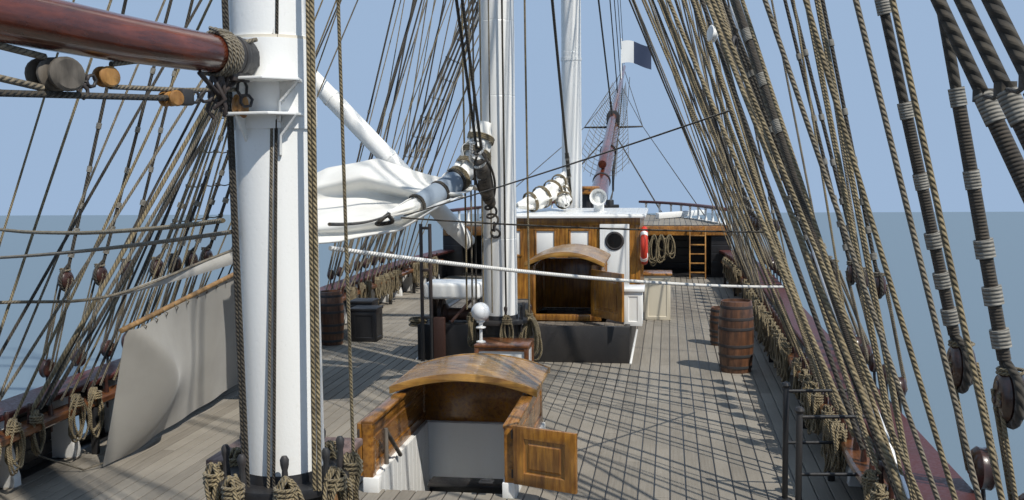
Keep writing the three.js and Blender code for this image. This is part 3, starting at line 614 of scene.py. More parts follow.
def set_light():
    bpy.context.scene.view_settings.view_transform = "Standard"
    world = bpy.data.worlds.new("studio")
    bpy.context.scene.world = world
    world.use_nodes = True
    sky = world.node_tree.nodes["Background"]
    sky.inputs["Color"].default_value = SKY_COLOR
    sky.inputs["Strength"].default_value = SKY_STRENGTH
    sun = bpy.data.lights.new("sun", "SUN")
    sun.energy = SUN_STRENGTH
    sun.angle = radians(SUN_WIDTH)
    sun.color = SUN_COLOR
    lamp = bpy.data.objects.new("sun", sun)
    lamp.rotation_euler = Vector(SUN_WAY).to_track_quat("-Z", "Y").to_euler()
    bpy.context.scene.collection.objects.link(lamp)


def floor():
    deselect()
    bpy.ops.mesh.primitive_plane_add(size=300, location=(0, 0, 0))
    obj = bpy.context.active_object
    obj.name = "floor"
    obj.data.materials.append(Finish("floor", (0.13, 0.18, 0.22), 0.45).mat)


set_camera()
set_light()
floor()


# Deck planking

def planks():
    """Eased planks laid fore and aft on the three decks, cut round the two stairwells."""
    w, t, ease = PLANK - 0.011, 0.012, 0.004
    section = [(-w / 2, 0), (-w / 2, t - ease), (-w / 2 + ease, t), (w / 2 - ease, t), (w / 2, t - ease),
        (w / 2, 0)]
    proto = shape([(x, y, z) for x in (0, 1) for y, z in section],
        [tuple(range(5, -1, -1)), tuple(range(6, 12))]
        + [(i, (i + 1) % 6, (i + 1) % 6 + 6, i + 6) for i in range(6)])
    places = []
    decks = [(POOP_X, FORE_X, 0.0), (STERN + 0.05, POOP_X - 0.02, POOP_H), (FORE_X, 18.0, FORE_H)]
    for x0, x1, h in decks:
        for i in range(-29, 30):
            y = i * PLANK
            edge = abs(y) + PLANK / 2 + (0.12 if h == 0 else 0.02)
            inside = [x for x in spread(x0, x1, 240) if half(x) > edge]
            if len(inside) < 3:
                continue
            shift = (i * PLANK_SHIFT) % PLANK_LENGTH
            butts = [c - shift for c in spread(-PLANK_LENGTH * 6, PLANK_LENGTH * 6, 12)]
            cuts = [inside[0]] + [c for c in butts if inside[0] + 0.3 < c < inside[-1] - 0.3] + [inside[-1]]
            for a, b in zip(cuts, cuts[1:]):
                spans = [(a + 0.003, b - 0.003)]
                if h == 0:
                    for wx0, wx1, wy0, wy1 in WELLS:
                        if wy0 - PLANK / 2 < y < wy1 + PLANK / 2:
                            spans = [s for p, q in spans for s in ((p, min(q, wx0)), (max(p, wx1), q))
                                if s[1] - s[0] > 0.02]
                for p, q in spans:
                    lift = Matrix.Identity(4)
                    if h == POOP_H:
                        lift = (Matrix.Translation((p, 0, POOP_H + sheer(p)))
                            @ Matrix.Rotation(atan(POOP_RISE), 4, "Y") @ Matrix.Translation((-p, 0, -h)))
                    places.append(lift @ Matrix.Translation((p, y, h)) @ Matrix.Diagonal((q - p, 1, 1, 1)))
    piece(copies(proto, places), "deck_planks", DECKWOOD, round_under=0)


planks()
for node in ("hull", "poop", "forecastle", "rudder"):
    NODES[node].data.materials.clear()
    NODES[node].data.materials.append(HULL)

# Shaping helpers

bpy.context.tool_settings.mesh_select_mode = (False, False, True)


def inset_face(obj, way, steps):
    """Insets the largest face that looks along way, once for each (width, depth)."""
    pick(obj)
    way = Vector(way)
    best = max((p for p in obj.data.polygons if p.normal.dot(way) > 0.95), key=lambda p: p.area)
    for group in (obj.data.vertices, obj.data.edges, obj.data.polygons):
        group.foreach_set("select", [False] * len(group))
    best.select = True
    bpy.ops.object.mode_set(mode="EDIT")
    for width, depth in steps:
        bpy.ops.mesh.inset(thickness=width, depth=depth)
    bpy.ops.object.mode_set(mode="OBJECT")
    return obj


def plate(points, thick, axis="y", at_height=0.0, bevel=0.004):
    """Flat outline made into a board: points lie across the axis, from at_height up by thick."""
    order = {"x": lambda u, v: (0, u, v), "y": lambda u, v: (u, 0, v), "z": lambda u, v: (u, v, 0)}[axis]
    way = Vector([float(axis == a) for a in "xyz"])
    low = [Vector(order(u, v)) + way * at_height for u, v in points]
    n = len(low)
    faces = [tuple(range(n)), tuple(range(2 * n - 1, n - 1, -1))]
    faces += [(i, i + n, (i + 1) % n + n, (i + 1) % n) for i in range(n)]
    obj = outward(shape(low + [p + way * thick for p in low], faces))
    if bevel:
        applied(obj, "BEVEL", width=bevel, segments=2, limit_method="ANGLE", angle_limit=0.6)
    return obj


def fielded(obj, steps, ways=((0, 1, 0), (0, -1, 0))):
    """Sinks or raises a panel in each of these faces, both sides if none are given."""
    for way in ways:
        inset_face(obj, way, steps)
    return obj


def moved(obj, place):
    """Puts the mesh through a place matrix."""
    obj.data.transform(place)
    return obj


def panel_door(width, height):
    """Leaf from x 0.02 out, with a raised and fielded panel on both faces."""
    leaf = block(0.02, width, -DOOR_THICK / 2, DOOR_THICK / 2, 0, height, 0)
    fielded(leaf, [(0.1, 0), (0.008, -0.014), (0.028, 0), (0.014, 0.009)])
    return applied(leaf, "BEVEL", width=0.003, segments=2, limit_method="ANGLE", angle_limit=0.9)


def coil(x, y, h, turn, length=0.42, width=0.16, loops=6, seed=1, radius=0.011):
    """Runs of a coil that hangs from a pin, flat to the direction turn (degrees)."""
    rnd = random.Random(seed)
    runs = []
    face = Matrix.Rotation(radians(turn), 3, "Z")
    for k in range(loops):
        w = width * rnd.uniform(0.75, 1.1)
        long = length * rnd.uniform(0.85, 1.08)
        off = Vector((0.02 + 0.014 * k, rnd.uniform(-0.02, 0.02), 0))
        lean = rnd.uniform(-0.12, 0.12)
        pts = []
        for i in range(19):
            t = i / 18
            a = TURN * t
            across = sin(a) * w * (0.35 + 0.65 * sin(pi * t)) * 0.62
            down = long * (1 - cos(a)) / 2
            pts.append(Vector((x, y, h)) + face @ (off
                + Vector((0.012 * sin(3 * a + k), across + lean * down, -down))))
        runs.append((pts, radius))
    # the turns that hold it
    for k in range(3):
        z = h - 0.05 - 0.024 * k
        pts = [Vector((x, y, z)) + face @ Vector((0.05 + 0.05 * cos(a), 0.055 * sin(a), 0))
            for a in spread(0, TURN, 10)]
        runs.append((pts, radius))
    return runs


def pin_shape():
    """Belaying pin, its shoulder at height 0."""
    return turned([(0, 0.19), (0.014, 0.187), (0.024, 0.168), (0.022, 0.14), (0.015, 0.11), (0.019, 0.06),
        (0.024, 0.02), (0.024, 0.0), (0.015, -0.01), (0.013, -0.1), (0.009, -0.155), (0, -0.16)], sides=10)


def pulley(size=0.1, cheeks=2):
    """Wooden block seen from its sheave's axis (Y), hung from its top at the origin."""
    parts = []
    for k in range(cheeks + 1):
        y = (k - cheeks / 2) * size * 0.36
        cheek = turned([(0, -0.09 * size), (0.42 * size, -0.09 * size), (0.5 * size, -0.03 * size),
            (0.5 * size, 0.03 * size), (0.42 * size, 0.09 * size), (0, 0.09 * size)], (0, y, -0.62 * size),
            (0, 1, 0), 20)
        cheek.data.transform(Matrix.Translation((0, 0, -0.62 * size)) @ Matrix.Diagonal((0.86, 1, 1.2, 1))
            @ Matrix.Translation((0, 0, 0.62 * size)))
        parts.append(cheek)
    sheave = turned([(0, -0.6), (0.34, -0.6), (0.38, -0.3), (0.36, 0), (0.38, 0.3), (0.34, 0.6), (0, 0.6)],
        sides=16)
    sheave.data.transform(Matrix.Translation((0, 0, -0.62 * size)) @ Matrix.Rotation(pi / 2, 4, "X")
        @ Matrix.Diagonal((size, size, size * 0.3 * cheeks, 1)))
    parts.append(sheave)
    return together(parts)


def facing(place, way, roll):
    """Matrix that puts an object's own -Z along way."""
    turn = Vector((0, 0, -1)).rotation_difference(Vector(way)).to_matrix().to_4x4()
    return Matrix.Translation(place) @ turn @ Matrix.Rotation(roll, 4, "Z")


# Lower masts

# place, height of the pin ring, of the hounds and of the cap, and of the plates' seams
MASTS = {
    "fore": (FOREMAST_X, 0.95, 11.2, 13.1, (2.9, 5.2, 7.6)),
    "main": (MAIN_X, 0.85, 11.8, 13.8, (1.9, 3.64, 4.54, 6.6, 8.9)),
    "mizzen": (MIZZEN_X, 1.08, 11.2, 12.8, (3.46, 5.3, 7.5)),
}
# place, and the heights of the hounds, the trees, the topmast's head and the truck
MAST_PLACES = {
    "fore": (FOREMAST_X, 11.2, 16.9, 18.2, 24.6),
    "main": (MAIN_X, 11.8, 17.9, 19.3, 26.6),
    "mizzen": (MIZZEN_X, 11.2, 16.9, 0, 21.9),
}


def mast_radius(h, hounds):
    """Radius of a lower mast at a height."""
    return MAST_R + (MAST_TOP_R - MAST_R) * h / hounds


def lower_mast(name, x, ring, hounds, cap, seams):
    """Steel mast: black foot, pin ring, white body with lapped seams, cheeks, top and cap."""
    body = [(0, ring + 0.02), (MAST_R, ring + 0.02)]
    for h in seams:
        r = mast_radius(h, hounds)
        body += [(r + 0.0015, h - 0.012), (r - 0.003, h), (r, h + 0.004)]
    body += [(MAST_TOP_R, hounds + 0.02), (0.18, hounds + 0.06), (0.17, cap - 0.28), (0, cap - 0.28)]
    piece(turned(body, (x, 0, 0), sides=72), f"{name}_mast_body", WHITE, replaces=(f"{name}_lower_mast",),
        round_under=20)
    foot = [(MAST_R + out, h) for out, h in ((0.07, 0.001), (0.07, 0.03), (0.045, 0.09), (0.01, 0.12))]
    foot += [(MAST_R + out, ring + h) for out, h in ((0.004, -0.14), (0.03, -0.13), (0.034, -0.02),
        (0.13, 0), (0.135, 0.025), (0.13, 0.05), (0.06, 0.052), (0.012, 0.05), (0.004, 0.1))]
    foot = [(0, 0.001)] + foot + [(0, ring + 0.1)]
    piece(turned(foot, (x, 0, 0), sides=64), f"{name}_mast_foot", BLACK)
    angles = [(i + 0.5) * pi / 4 for i in range(8)]
    places = [at(x + cos(a) * (MAST_R + 0.085), sin(a) * (MAST_R + 0.085), ring + 0.045) for a in angles]
    piece(copies(pin_shape(), places), f"{name}_ring_pins", IRON)
    cheeks = [plate([(x - 0.3, hounds), (x + 0.62, hounds), (x + 0.3, hounds - 0.55),
        (x + 0.2, hounds - 0.95), (x - 0.2, hounds - 0.95), (x - 0.24, hounds - 0.5)], 0.05, "y", y, 0.01)
        for y in (-0.24, 0.19)]
    cheeks += [block(x - 0.62, x + 0.98, y - 0.05, y + 0.05, hounds - 0.12, hounds - 0.005, 0.01)
        for y in (-0.27, 0.27)]
    cheeks += [block(x + dx, x + dx + 0.1, -1.15, 1.15, hounds - 0.1, hounds + 0.01, 0.01)
        for dx in (-0.42, 0.68)]
    cheeks.append(plate([(x - 0.26, cap - 0.3), (x + 0.68, cap - 0.3), (x + 0.68, cap), (x - 0.26, cap)],
        0.48, "y", -0.24, 0.03))
    piece(cheeks, f"{name}_cheeks_and_cap", WHITE)
    boards = []
    for i in range(18):
        y = -1.2 + i * 0.14
        fore = 0.96 - 0.42 * max(0, (abs(y) - 0.3) / 0.95) ** 1.5 * 1.7
        gaps = [(-0.74, -0.24), (0.68, fore)] if abs(y) < 0.2 else [(-0.74, fore)]
        boards += [block(x + a, x + b, y, y + 0.128, hounds + 0.015, hounds + 0.06, 0.004, 1)
            for a, b in gaps]
    rim = [(x + dx, dy, hounds + 0.075) for dx, dy in ((-0.74, -1.22), (0.2, -1.22), (0.84, -0.68),
        (0.97, 0), (0.84, 0.68), (0.2, 1.22), (-0.74, 1.22), (-0.74, -1.22))]
    piece(boards + [tube([rim], 0.028, 8)], f"{name}_top_boards", DECKWOOD, round_under=30)
    bands = [disc(mast_radius(h, hounds) + 0.012, h - 0.03, h + 0.03, (x, 0, 0), sides=48)
        for h in (hounds * 0.45, hounds * 0.8)]
    piece(bands, f"{name}_mast_bands", WHITE)
    runs = []
    for i, a in enumerate(angles):
        if name == "mizzen" or i % 2 == 0:
            size = 0.32 if name == "mizzen" else 0.36
            px, py = x + cos(a) * (MAST_R + 0.1), sin(a) * (MAST_R + 0.1)
            runs += coil(px, py, ring + 0.13, degrees(a), size, 0.13, 5, i + len(name), 0.011)
    rope(runs, f"{name}_ring_coils", 0.012, MANILA)


for mast_name, values in MASTS.items():
    lower_mast(mast_name, *values)


def mizzen_fittings():
    """Doubling plate, saddle shelves with gussets, and the gooseneck that carries the boom."""
    x = MIZZEN_X
    # the plate wraps the after half of the mast; its lower corners are rounded
    rows = []
    first, last = 62, 298
    for t in spread(0, 1, 12):
        row = []
        for a in spread(first, last, 36):
            edge = max(0.0, 1 - min(a - first, last - a) / 26)
            low = 3.0 + 0.16 * (1 - sqrt(max(0.0, 1 - edge * edge)))
            h = low + (3.46 - low) * t
            r = mast_radius(h, MASTS["mizzen"][2]) + 0.008
            row.append((x + r * cos(radians(a)), r * sin(radians(a)), h))
        rows.append(row)
    wrap = skin(rows, 0.012)
    shelves = []
    for h, size in ((3.235, 1.0), (3.065, 0.86)):
        shelves.append(plate([(x - 0.4 * size, 0.1), (x - 0.42 * size, -0.12),
            (x - 0.27 * size, -0.25 * size), (x - 0.1, -0.21), (x, 0), (x - 0.1, 0.17),
            (x - 0.32 * size, 0.15)], 0.014, "z", h, 0.003))
        brackets = [[(x - 0.27 * size, -0.25 * size, h), (x - 0.225, -0.13, h - 0.1),
            (x - 0.21, -0.12, h - 0.2)], [(x - 0.19, -0.12, h), (x - 0.19, -0.115, h - 0.12),
            (x - 0.19, -0.11, h - 0.21)]]
        shelves.append(skin(brackets, 0.012))
        shelves.append(plate([(x - 0.38 * size, h), (x - 0.19, h), (x - 0.19, h - 0.15)], 0.012, "y", 0.06,
            0.002))
    piece([wrap] + shelves, "mizzen_saddle", WHITE)
    piece(block(x - 0.275, x - 0.19, -0.03, 0.03, 3.31, 3.39, 0.006), "mizzen_gooseneck", IRON)
    piece(disc(MAST_R + 0.006, 3.44, 3.475, (x, 0, 0), sides=48), "mizzen_seam_band", RUSTY_WHITE)


mizzen_fittings()


# Boom, gaff and their gear

BOOM_H, BOOM_SWING = 3.35, 10
BOOM = DECK @ Matrix.Translation((MIZZEN_X, 0, 0)) @ Matrix.Rotation(radians(-BOOM_SWING), 4, "Z")


def boom_axis(x):
    """Height of the boom's axis and its radius, x measured aft from the mast."""
    if x < 1.2:
        return BOOM_H, 0.088 + (x - 0.26) * 0.0128
    if x < 4.5:
        return BOOM_H + 0.08 * (x - 1.2) / 3.3, 0.1 + 0.015 * (x - 1.2) / 3.3
    return BOOM_H + 0.08 + 0.14 * (x - 4.5) / 5.9, 0.115 - 0.035 * (x - 4.5) / 5.9


def spar_along(places):
    """Round spar through (point, radius) places, closed at its ends."""
    rows = []
    for p, r in places:
        rows.append([(p[0], p[1] + r * sin(a), p[2] + r * cos(a)) for a in spread(0, TURN, 32)[:-1]])
    return loft(rows)


def ring_of(centre, radius, way, thick, turns=1.0, climb=0.0):
    """A run and its radius: rope or iron ring round a centre, square to way."""
    turn = UP.rotation_difference(Vector(way)).to_matrix()
    return ([Vector(centre) + turn @ Vector((radius * cos(a), radius * sin(a), climb * a))
        for a in spread(0, TURN * turns, round(14 * turns) + 1)], thick)


def shackle(top, low, wide=0.03):
    """A run and its radius: bow shackle between two points."""
    top, low = Vector(top), Vector(low)
    way = low - top
    side_way = way.cross(Vector((0.3, 1, 0.2))).normalized() * wide
    return ([top, top + way * 0.35 + side_way, top + way * 0.75 + side_way, low,
        top + way * 0.75 - side_way, top + way * 0.35 - side_way, top], 0.008)


def boom_gear():
    """The boom with its irons, and the tackle that lies along its underside."""
    places = []
    for x in [0.262, 0.27, 0.6, 0.9, 1.2, 2, 3, 4.5, 6, 7.5, 9, 10.3, 10.38, 10.4]:
        h, r = boom_axis(x)
        if x in (0.262, 10.4):
            r -= 0.02
        places.append(((-x, 0, h), r))
    piece(spar_along(places), "boom", REDWOOD, "spanker_boom", where=BOOM, replaces=("spanker_boom",))
    irons = []
    for x0, x1, extra in ((0.258, 0.4, 0.007), (0.335, 0.37, 0.013), (3.0, 3.06, 0.008), (6.0, 6.06, 0.008),
            (10.2, 10.3, 0.008)):
        h, r = boom_axis((x0 + x1) / 2)
        irons.append(turned([(0, -x1), (r + extra, -x1), (r + extra + 0.003, -x1 + 0.005),
            (r + extra + 0.003, -x0 - 0.005), (r + extra, -x0), (0, -x0)], (0, 0, h), (1, 0, 0), 32))
    irons += [block(-0.44, -0.3, y - 0.012, y + 0.012, BOOM_H - 0.125, BOOM_H - 0.08, 0.004)
        for y in (-0.05, 0.05)]
    irons.append(bar((-0.37, -0.07, BOOM_H - 0.115), (-0.37, 0.07, BOOM_H - 0.115), 0.012, sides=12))
    piece(irons, "boom_irons", IRON, "spanker_boom", where=BOOM)
    under = BOOM_H - 0.1
    links = [shackle(*row) for row in (((-0.3, -0.02, under), (-0.33, -0.03, under - 0.1)),
        ((-0.33, -0.03, under - 0.09), (-0.3, -0.06, 3.11)),
        ((-0.46, 0.02, under), (-0.5, 0.0, under - 0.09)),
        ((-0.42, 0.02, under), (-0.47, 0.0, under - 0.08)), ((-1.44, 0, 3.165), (-1.36, 0, 3.15), 0.022),
        ((-1.37, 0, 3.15), (-1.31, 0, 3.165), 0.022), ((-1.39, 0, 3.14), (-1.385, 0, 3.085), 0.02),
        ((-0.72, 0, 3.13), (-0.63, 0, 3.135), 0.025), ((-0.64, 0, 3.135), (-0.52, 0, 3.15), 0.025))]
    for k in range(9):
        x = 0.44 + 0.018 * (k % 5)
        links.append(([Vector((-x, 0.03 * cos(k * 1.9), under - 0.005)),
            Vector((-x - 0.02 * sin(k), 0.05 * cos(k * 2.3), under - 0.07 - 0.012 * k)),
            Vector((-x + 0.01, 0.03 * sin(k * 1.7), under - 0.12 - 0.011 * k))], 0.011))
    links.append(([Vector((-0.36, -0.02, under - 0.02)), Vector((-0.5, -0.02, under - 0.1)),
        Vector((-0.64, -0.01, under))], 0.012))
    rope(links, "boom_shackles", 0.01, IRON, "spanker_boom", where=BOOM, slot="hull_black")
    h, r = boom_axis(0.45)
    wraps = [ring_of((-0.42 - 0.022 * k, 0, h), r + 0.014, (1, 0.1 * sin(k), 0), 0.01) for k in range(5)]
    wraps += [([Vector((-0.34 - 0.05 * k, 0.05 * sin(3 * k), BOOM_H + 0.105)),
        Vector((-0.38 - 0.04 * k, 0.02, BOOM_H + 0.125)), Vector((-0.43 - 0.03 * k, -0.05, BOOM_H + 0.1))],
        0.009) for k in range(4)]
    rope(wraps, "boom_lashings", 0.008, HEMP, "spanker_boom", where=BOOM)
    # tackle: a grey double block, two yellow ones, their falls
    tackle = [(-1.53, 0.155, 3.168, 90, GREYWOOD, 2), (-1.25, 0.1, 3.182, -90, BLOCKWOOD, 1),
        (-0.84, 0.085, 3.117, 90, BLOCKWOOD, 2), (-0.3, 0.1, 3.11, 0, BLOCKWOOD, 1)]
    for i, (x, size, h, turn, finish, cheeks) in enumerate(tackle):
        place = (BOOM @ Matrix.Translation((x, 0, h)) @ Matrix.Rotation(radians(turn), 4, "Y")
            @ Matrix.Translation((0, 0, 0.62 * size)))
        piece(pulley(size, cheeks), f"boom_block_{i}", finish, "spanker_boom", where=place)
    strap = block(-0.8, -0.71, -0.035, 0.035, 3.09, 3.165, 0.012)
    piece(strap, "boom_block_strap", IRON, "spanker_boom", where=BOOM)
    long = [([(-1.58, 0, 3.23), (-1.79, 0, 3.25), (-4.5, 0, 3.31)], 0.014),
        ([(-1.6, 0, 3.112), (-1.8, 0, 3.134), (-6.0, 0, 3.31)], 0.014),
        ([(-1.22, 0, 3.235), (-0.7, 0.0, 3.325), (-0.262, -0.08, 3.44)], 0.012),
        ([(-1.23, 0, 3.142), (-0.75, 0, 3.16), (-0.34, 0, 3.19)], 0.012)]
    rope(long, "boom_tackle", 0.012, HEMP, "spanker_boom", where=BOOM)
    rope([([(-0.86, 0, 3.117), (-1.8, 0, 3.08), (-4.4, 0, 3.27)], 0.015)], "boom_pendant", 0.015, TARRED,
        "spanker_boom", where=BOOM)


boom_gear()
GAFF = [((MIZZEN_X - 0.34, 0, 8.9), 0.1), ((MIZZEN_X - 2.2, 0, 10.05), 0.1),
    ((MIZZEN_X - 6.3, 0, 12.6), 0.06)]
rope([([GAFF[0][0], GAFF[1][0]], 0.1), ([GAFF[1][0], GAFF[2][0]], 0.085)], "gaff", 0.1, REDWOOD,
    "spanker_gaff", 24, ("spanker_gaff",), slot="red_varnish")


# After companion

AFT = {"x0": -4.7, "x1": -2.7, "y0": -0.8, "y1": 0.5, "wall": 0.07, "top": 0.63}


def arch_rows(y0, y1, edge, crown, x):
    """Points of an arch across the ship, from its edges up to its crown."""
    return [(x, (y0 + y1) / 2 + t * (y1 - y0) / 2, edge + (crown - edge) * (1 - t * t))
        for t in spread(-1, 1, 24)]


def planked_roof(y0, y1, edge, crown, x0, x1, boards, thick=0.03):
    """Arched roof of narrow boards that run across the ship, with open seams between them."""
    parts = []
    step = (x1 - x0) / boards
    for i in range(boards):
        a, b = x0 + i * step + 0.002, x0 + (i + 1) * step - 0.002
        rows = [arch_rows(y0, y1, edge, crown, x) for x in (a, b)]
        low = [[(p[0], p[1], p[2] - thick) for p in row] for row in rows]
        parts.append(loft([row + under[::-1] for row, under in zip(rows, low)]))
    return parts


def cap_board(points, width, z):
    """Rounded board laid flat along a line of two points."""
    (xa, ya), (xb, yb) = points
    x0, x1 = sorted((xa, xb))
    y0, y1 = sorted((ya, yb))
    if x1 - x0 > y1 - y0:
        return block(x0, x1, y0 - width / 2, y0 + width / 2, z, z + 0.035, 0.012)
    return block(x0 - width / 2, x0 + width / 2, y0, y1, z, z + 0.035, 0.012)


def after_companion():
    """Panelled walls with white feet round the well, and what shows inside it."""
    x0, x1, y0, y1, wall, top = (AFT[k] for k in ("x0", "x1", "y0", "y1", "wall", "top"))
    walls = []
    for y in (y1 - wall / 2, y0 + wall / 2):
        board = block(x0, x1, y - wall / 2 + 0.008, y + wall / 2 - 0.008, 0.14, top - 0.03, 0)
        walls.append(fielded(board, [(0.09, 0), (0.006, -0.012), (0.035, 0), (0.012, 0.008)]))
    walls.append(block(x1 - wall + 0.008, x1 - 0.008, y0 + 0.01, y1 - 0.01, 0.14, top - 0.03, 0.004))
    piece(walls, "aft_companion_walls", VARNISH_LONG, replaces=("aft_companion",), round_under=25)
    caps = [cap_board([(x0 - 0.01, y1 - 0.035), (x1, y1 - 0.035)], 0.115, top - 0.032),
        cap_board([(x0 - 0.01, y0 + 0.035), (x1, y0 + 0.035)], 0.115, top - 0.032),
        cap_board([(x1 - 0.035, y0 + 0.02), (x1 - 0.035, y1 - 0.02)], 0.08, top - 0.034)]
    caps += [block(x0 - 0.012, x0 + 0.085, y - 0.045, y + 0.045, 0.12, top - 0.02, 0.006)
        for y in (y0 + 0.035, y1 - 0.035)]
    piece(caps, "aft_companion_caps", VARNISH_LONG, round_under=25)
    white = [block(x0, x1, y - 0.055, y + 0.055, 0.002, 0.142, 0.01) for y in (y0 + 0.035, y1 - 0.035)]
    white += blocks((x1 - 0.09, x1, y0, y1, 0.002, 0.142, 0.01),
        (x0 - 0.02, x0 + 0.09, y1 - 0.13, y1 + 0.01, 0.002, 0.142, 0.01),
        (x0 - 0.02, x0 + 0.09, y0 - 0.01, y0 + 0.1, 0.002, 0.142, 0.01))
    # boarded linings of the well, with their grooves
    for y, out in ((0.405, -1), (-0.705, 1)):
        for i in range(13):
            xa = -4.6 + i * 0.14
            white.append(block(xa, xa + 0.136, min(y, y + out * 0.012), max(y, y + out * 0.012), -1.65,
                0.14, 0.003, 1))
    white.append(block(-2.83, -2.812, -0.7, 0.4, -0.47, 0.14, 0.003, 1))
    piece(white, "aft_companion_coaming", WHITE, round_under=25)
    # stairs down the well: wood coloured black as painted shade
    stairs = []
    for i in range(6):
        h = -0.3 - i * 0.23
        xa = -3.25 - i * 0.2
        stairs.append(block(xa - 0.24, xa, -0.55, 0.25, h - 0.03, h, 0.006))
    piece(stairs, "aft_companion_stairs", BLACK, slot="varnished_wood", round_under=25)
    # black floor of the well and black lower part of its front lining, both painted shade deep in the well,
    # and hand rail stub on the port lining
    dark = blocks((-4.6, -2.82, -0.69, 0.39, -1.69, -1.66, 0.003),
        (-2.83, -2.814, -0.7, 0.4, -1.65, -0.48, 0.003))
    piece(dark, "aft_companion_floor_shade", BLACK, slot=None)
    rail = [bar((-4.5, 0.36, 0.2), (-4.5, 0.36, 0.52), 0.02, 0.018, 16, 0.004),
        bar((-4.5, 0.36, 0.5), (-4.05, 0.36, 0.15), 0.019, 0.019, 16)]
    piece(rail, "aft_companion_handrail", GREYWOOD)
    latch = blocks((-4.72, -4.64, -0.62, -0.5, 0.128, 0.142, 0.003),
        (-4.7, -4.66, -0.6, -0.52, 0.14, 0.155, 0.003))
    piece(latch, "aft_companion_latch", IRON)


def after_hood():
    """Sliding hood: arched boards, curved fascias fore and aft, and rims along the sides."""
    y0, y1 = AFT["y0"] - 0.06, AFT["y1"] + 0.06
    boards = planked_roof(y0, y1, 0.695, 0.83, -3.62, -2.62, 8)
    top = arch_rows(y0 - 0.004, y1 + 0.004, 0.7, 0.836, -3.645)
    front = plate([(p[1], p[2]) for p in top] + [(p[1], p[2] - 0.075) for p in top[::-1]], 0.045, "x",
        -3.67, 0.006)
    rims = [block(-3.66, -2.61, y - 0.02, y + 0.02, 0.66, 0.7, 0.006) for y in (y0 + 0.015, y1 - 0.015)]
    back = plate([(p[1], p[2]) for p in top] + [(p[1], p[2] - 0.06) for p in top[::-1]], 0.03, "x", -2.64,
        0.004)
    piece(boards + [front, back] + rims, "aft_hood_boards", HOOD_WOOD, "aft_companion_hood",
        replaces=("aft_companion_hood",), round_under=25)
    # dark brown lining under the hood: painted shade
    lining = planked_roof(y0 + 0.04, y1 - 0.04, 0.66, 0.79, -3.6, -2.66, 2, 0.006)
    piece(lining, "aft_hood_lining_shade", SHADE_BROWN, "aft_companion_hood", "varnished_wood")


def door_leaf(name, hinge, heights, width, angle, body):
    """Panelled leaf that stands open by angle on its hinge, with the hinge's two pins."""
    place = at(*hinge, heights[0], angle)
    leaf = moved(panel_door(width, heights[1] - heights[0]), place)
    piece(leaf, name, VARNISH_UP, body, replaces=(body,), round_under=25)
    parts = [moved(bar((0.004, 0, z - 0.035), (0.004, 0, z + 0.035), 0.009, sides=12), place)
        for z in (0.08, heights[1] - heights[0] - 0.08)]
    piece(parts, f"{name}_pins", IRON, body)


after_companion()
after_hood()
door_leaf("aft_door_port_leaf", (AFT["x0"] - 0.035, AFT["y1"] + 0.035), (0.15, 0.61), 0.64, 0,
    "aft_companion_door_port")
door_leaf("aft_door_starboard_leaf", (AFT["x0"] - 0.035, AFT["y0"] + 0.01), (0.15, 0.645), 0.6, -111,
    "aft_companion_door_starboard")


# Main hatch and middle companion

MID = {"x0": 1.55, "x1": 2.95, "y0": -1.12, "y1": -0.06, "h0": 0.531, "h1": 1.34}


def hatch():
    """Main hatch: coaming, boards round the middle companion, and trim at its foot."""
    low = 0.002
    sides = blocks((1.08, 1.16, -1.54, 1.5, low, 0.53, 0.012), (3.82, 3.9, -1.54, 1.5, low, 0.53, 0.012),
        (1.1, 3.88, 1.42, 1.5, low, 0.53, 0.012), (1.1, 3.88, -1.54, -1.46, low, 0.53, 0.012))
    piece(sides, "main_hatch_coaming", BLACK, replaces=("main_hatch",), round_under=25)
    boards = []
    for i in range(20):
        y = -1.46 + i * 0.144
        if MID["y0"] - 0.1 < y < MID["y1"]:
            boards.append(block(2.96, 3.82, y, y + 0.14, 0.47, 0.52, 0.006))
            boards.append(block(1.16, 1.54, y, y + 0.14, 0.47, 0.52, 0.006))
        else:
            boards.append(block(1.16, 3.82, y, y + 0.14, 0.47, 0.52, 0.006))
    piece(boards, "main_hatch_boards", GREYWOOD, round_under=25, slot=None)
    trim = [block(1.06, 3.92, y, y + 0.03, 0.001, 0.03, 0.006) for y in (-1.57, 1.5)]
    piece(trim, "main_hatch_trim", WHITE)


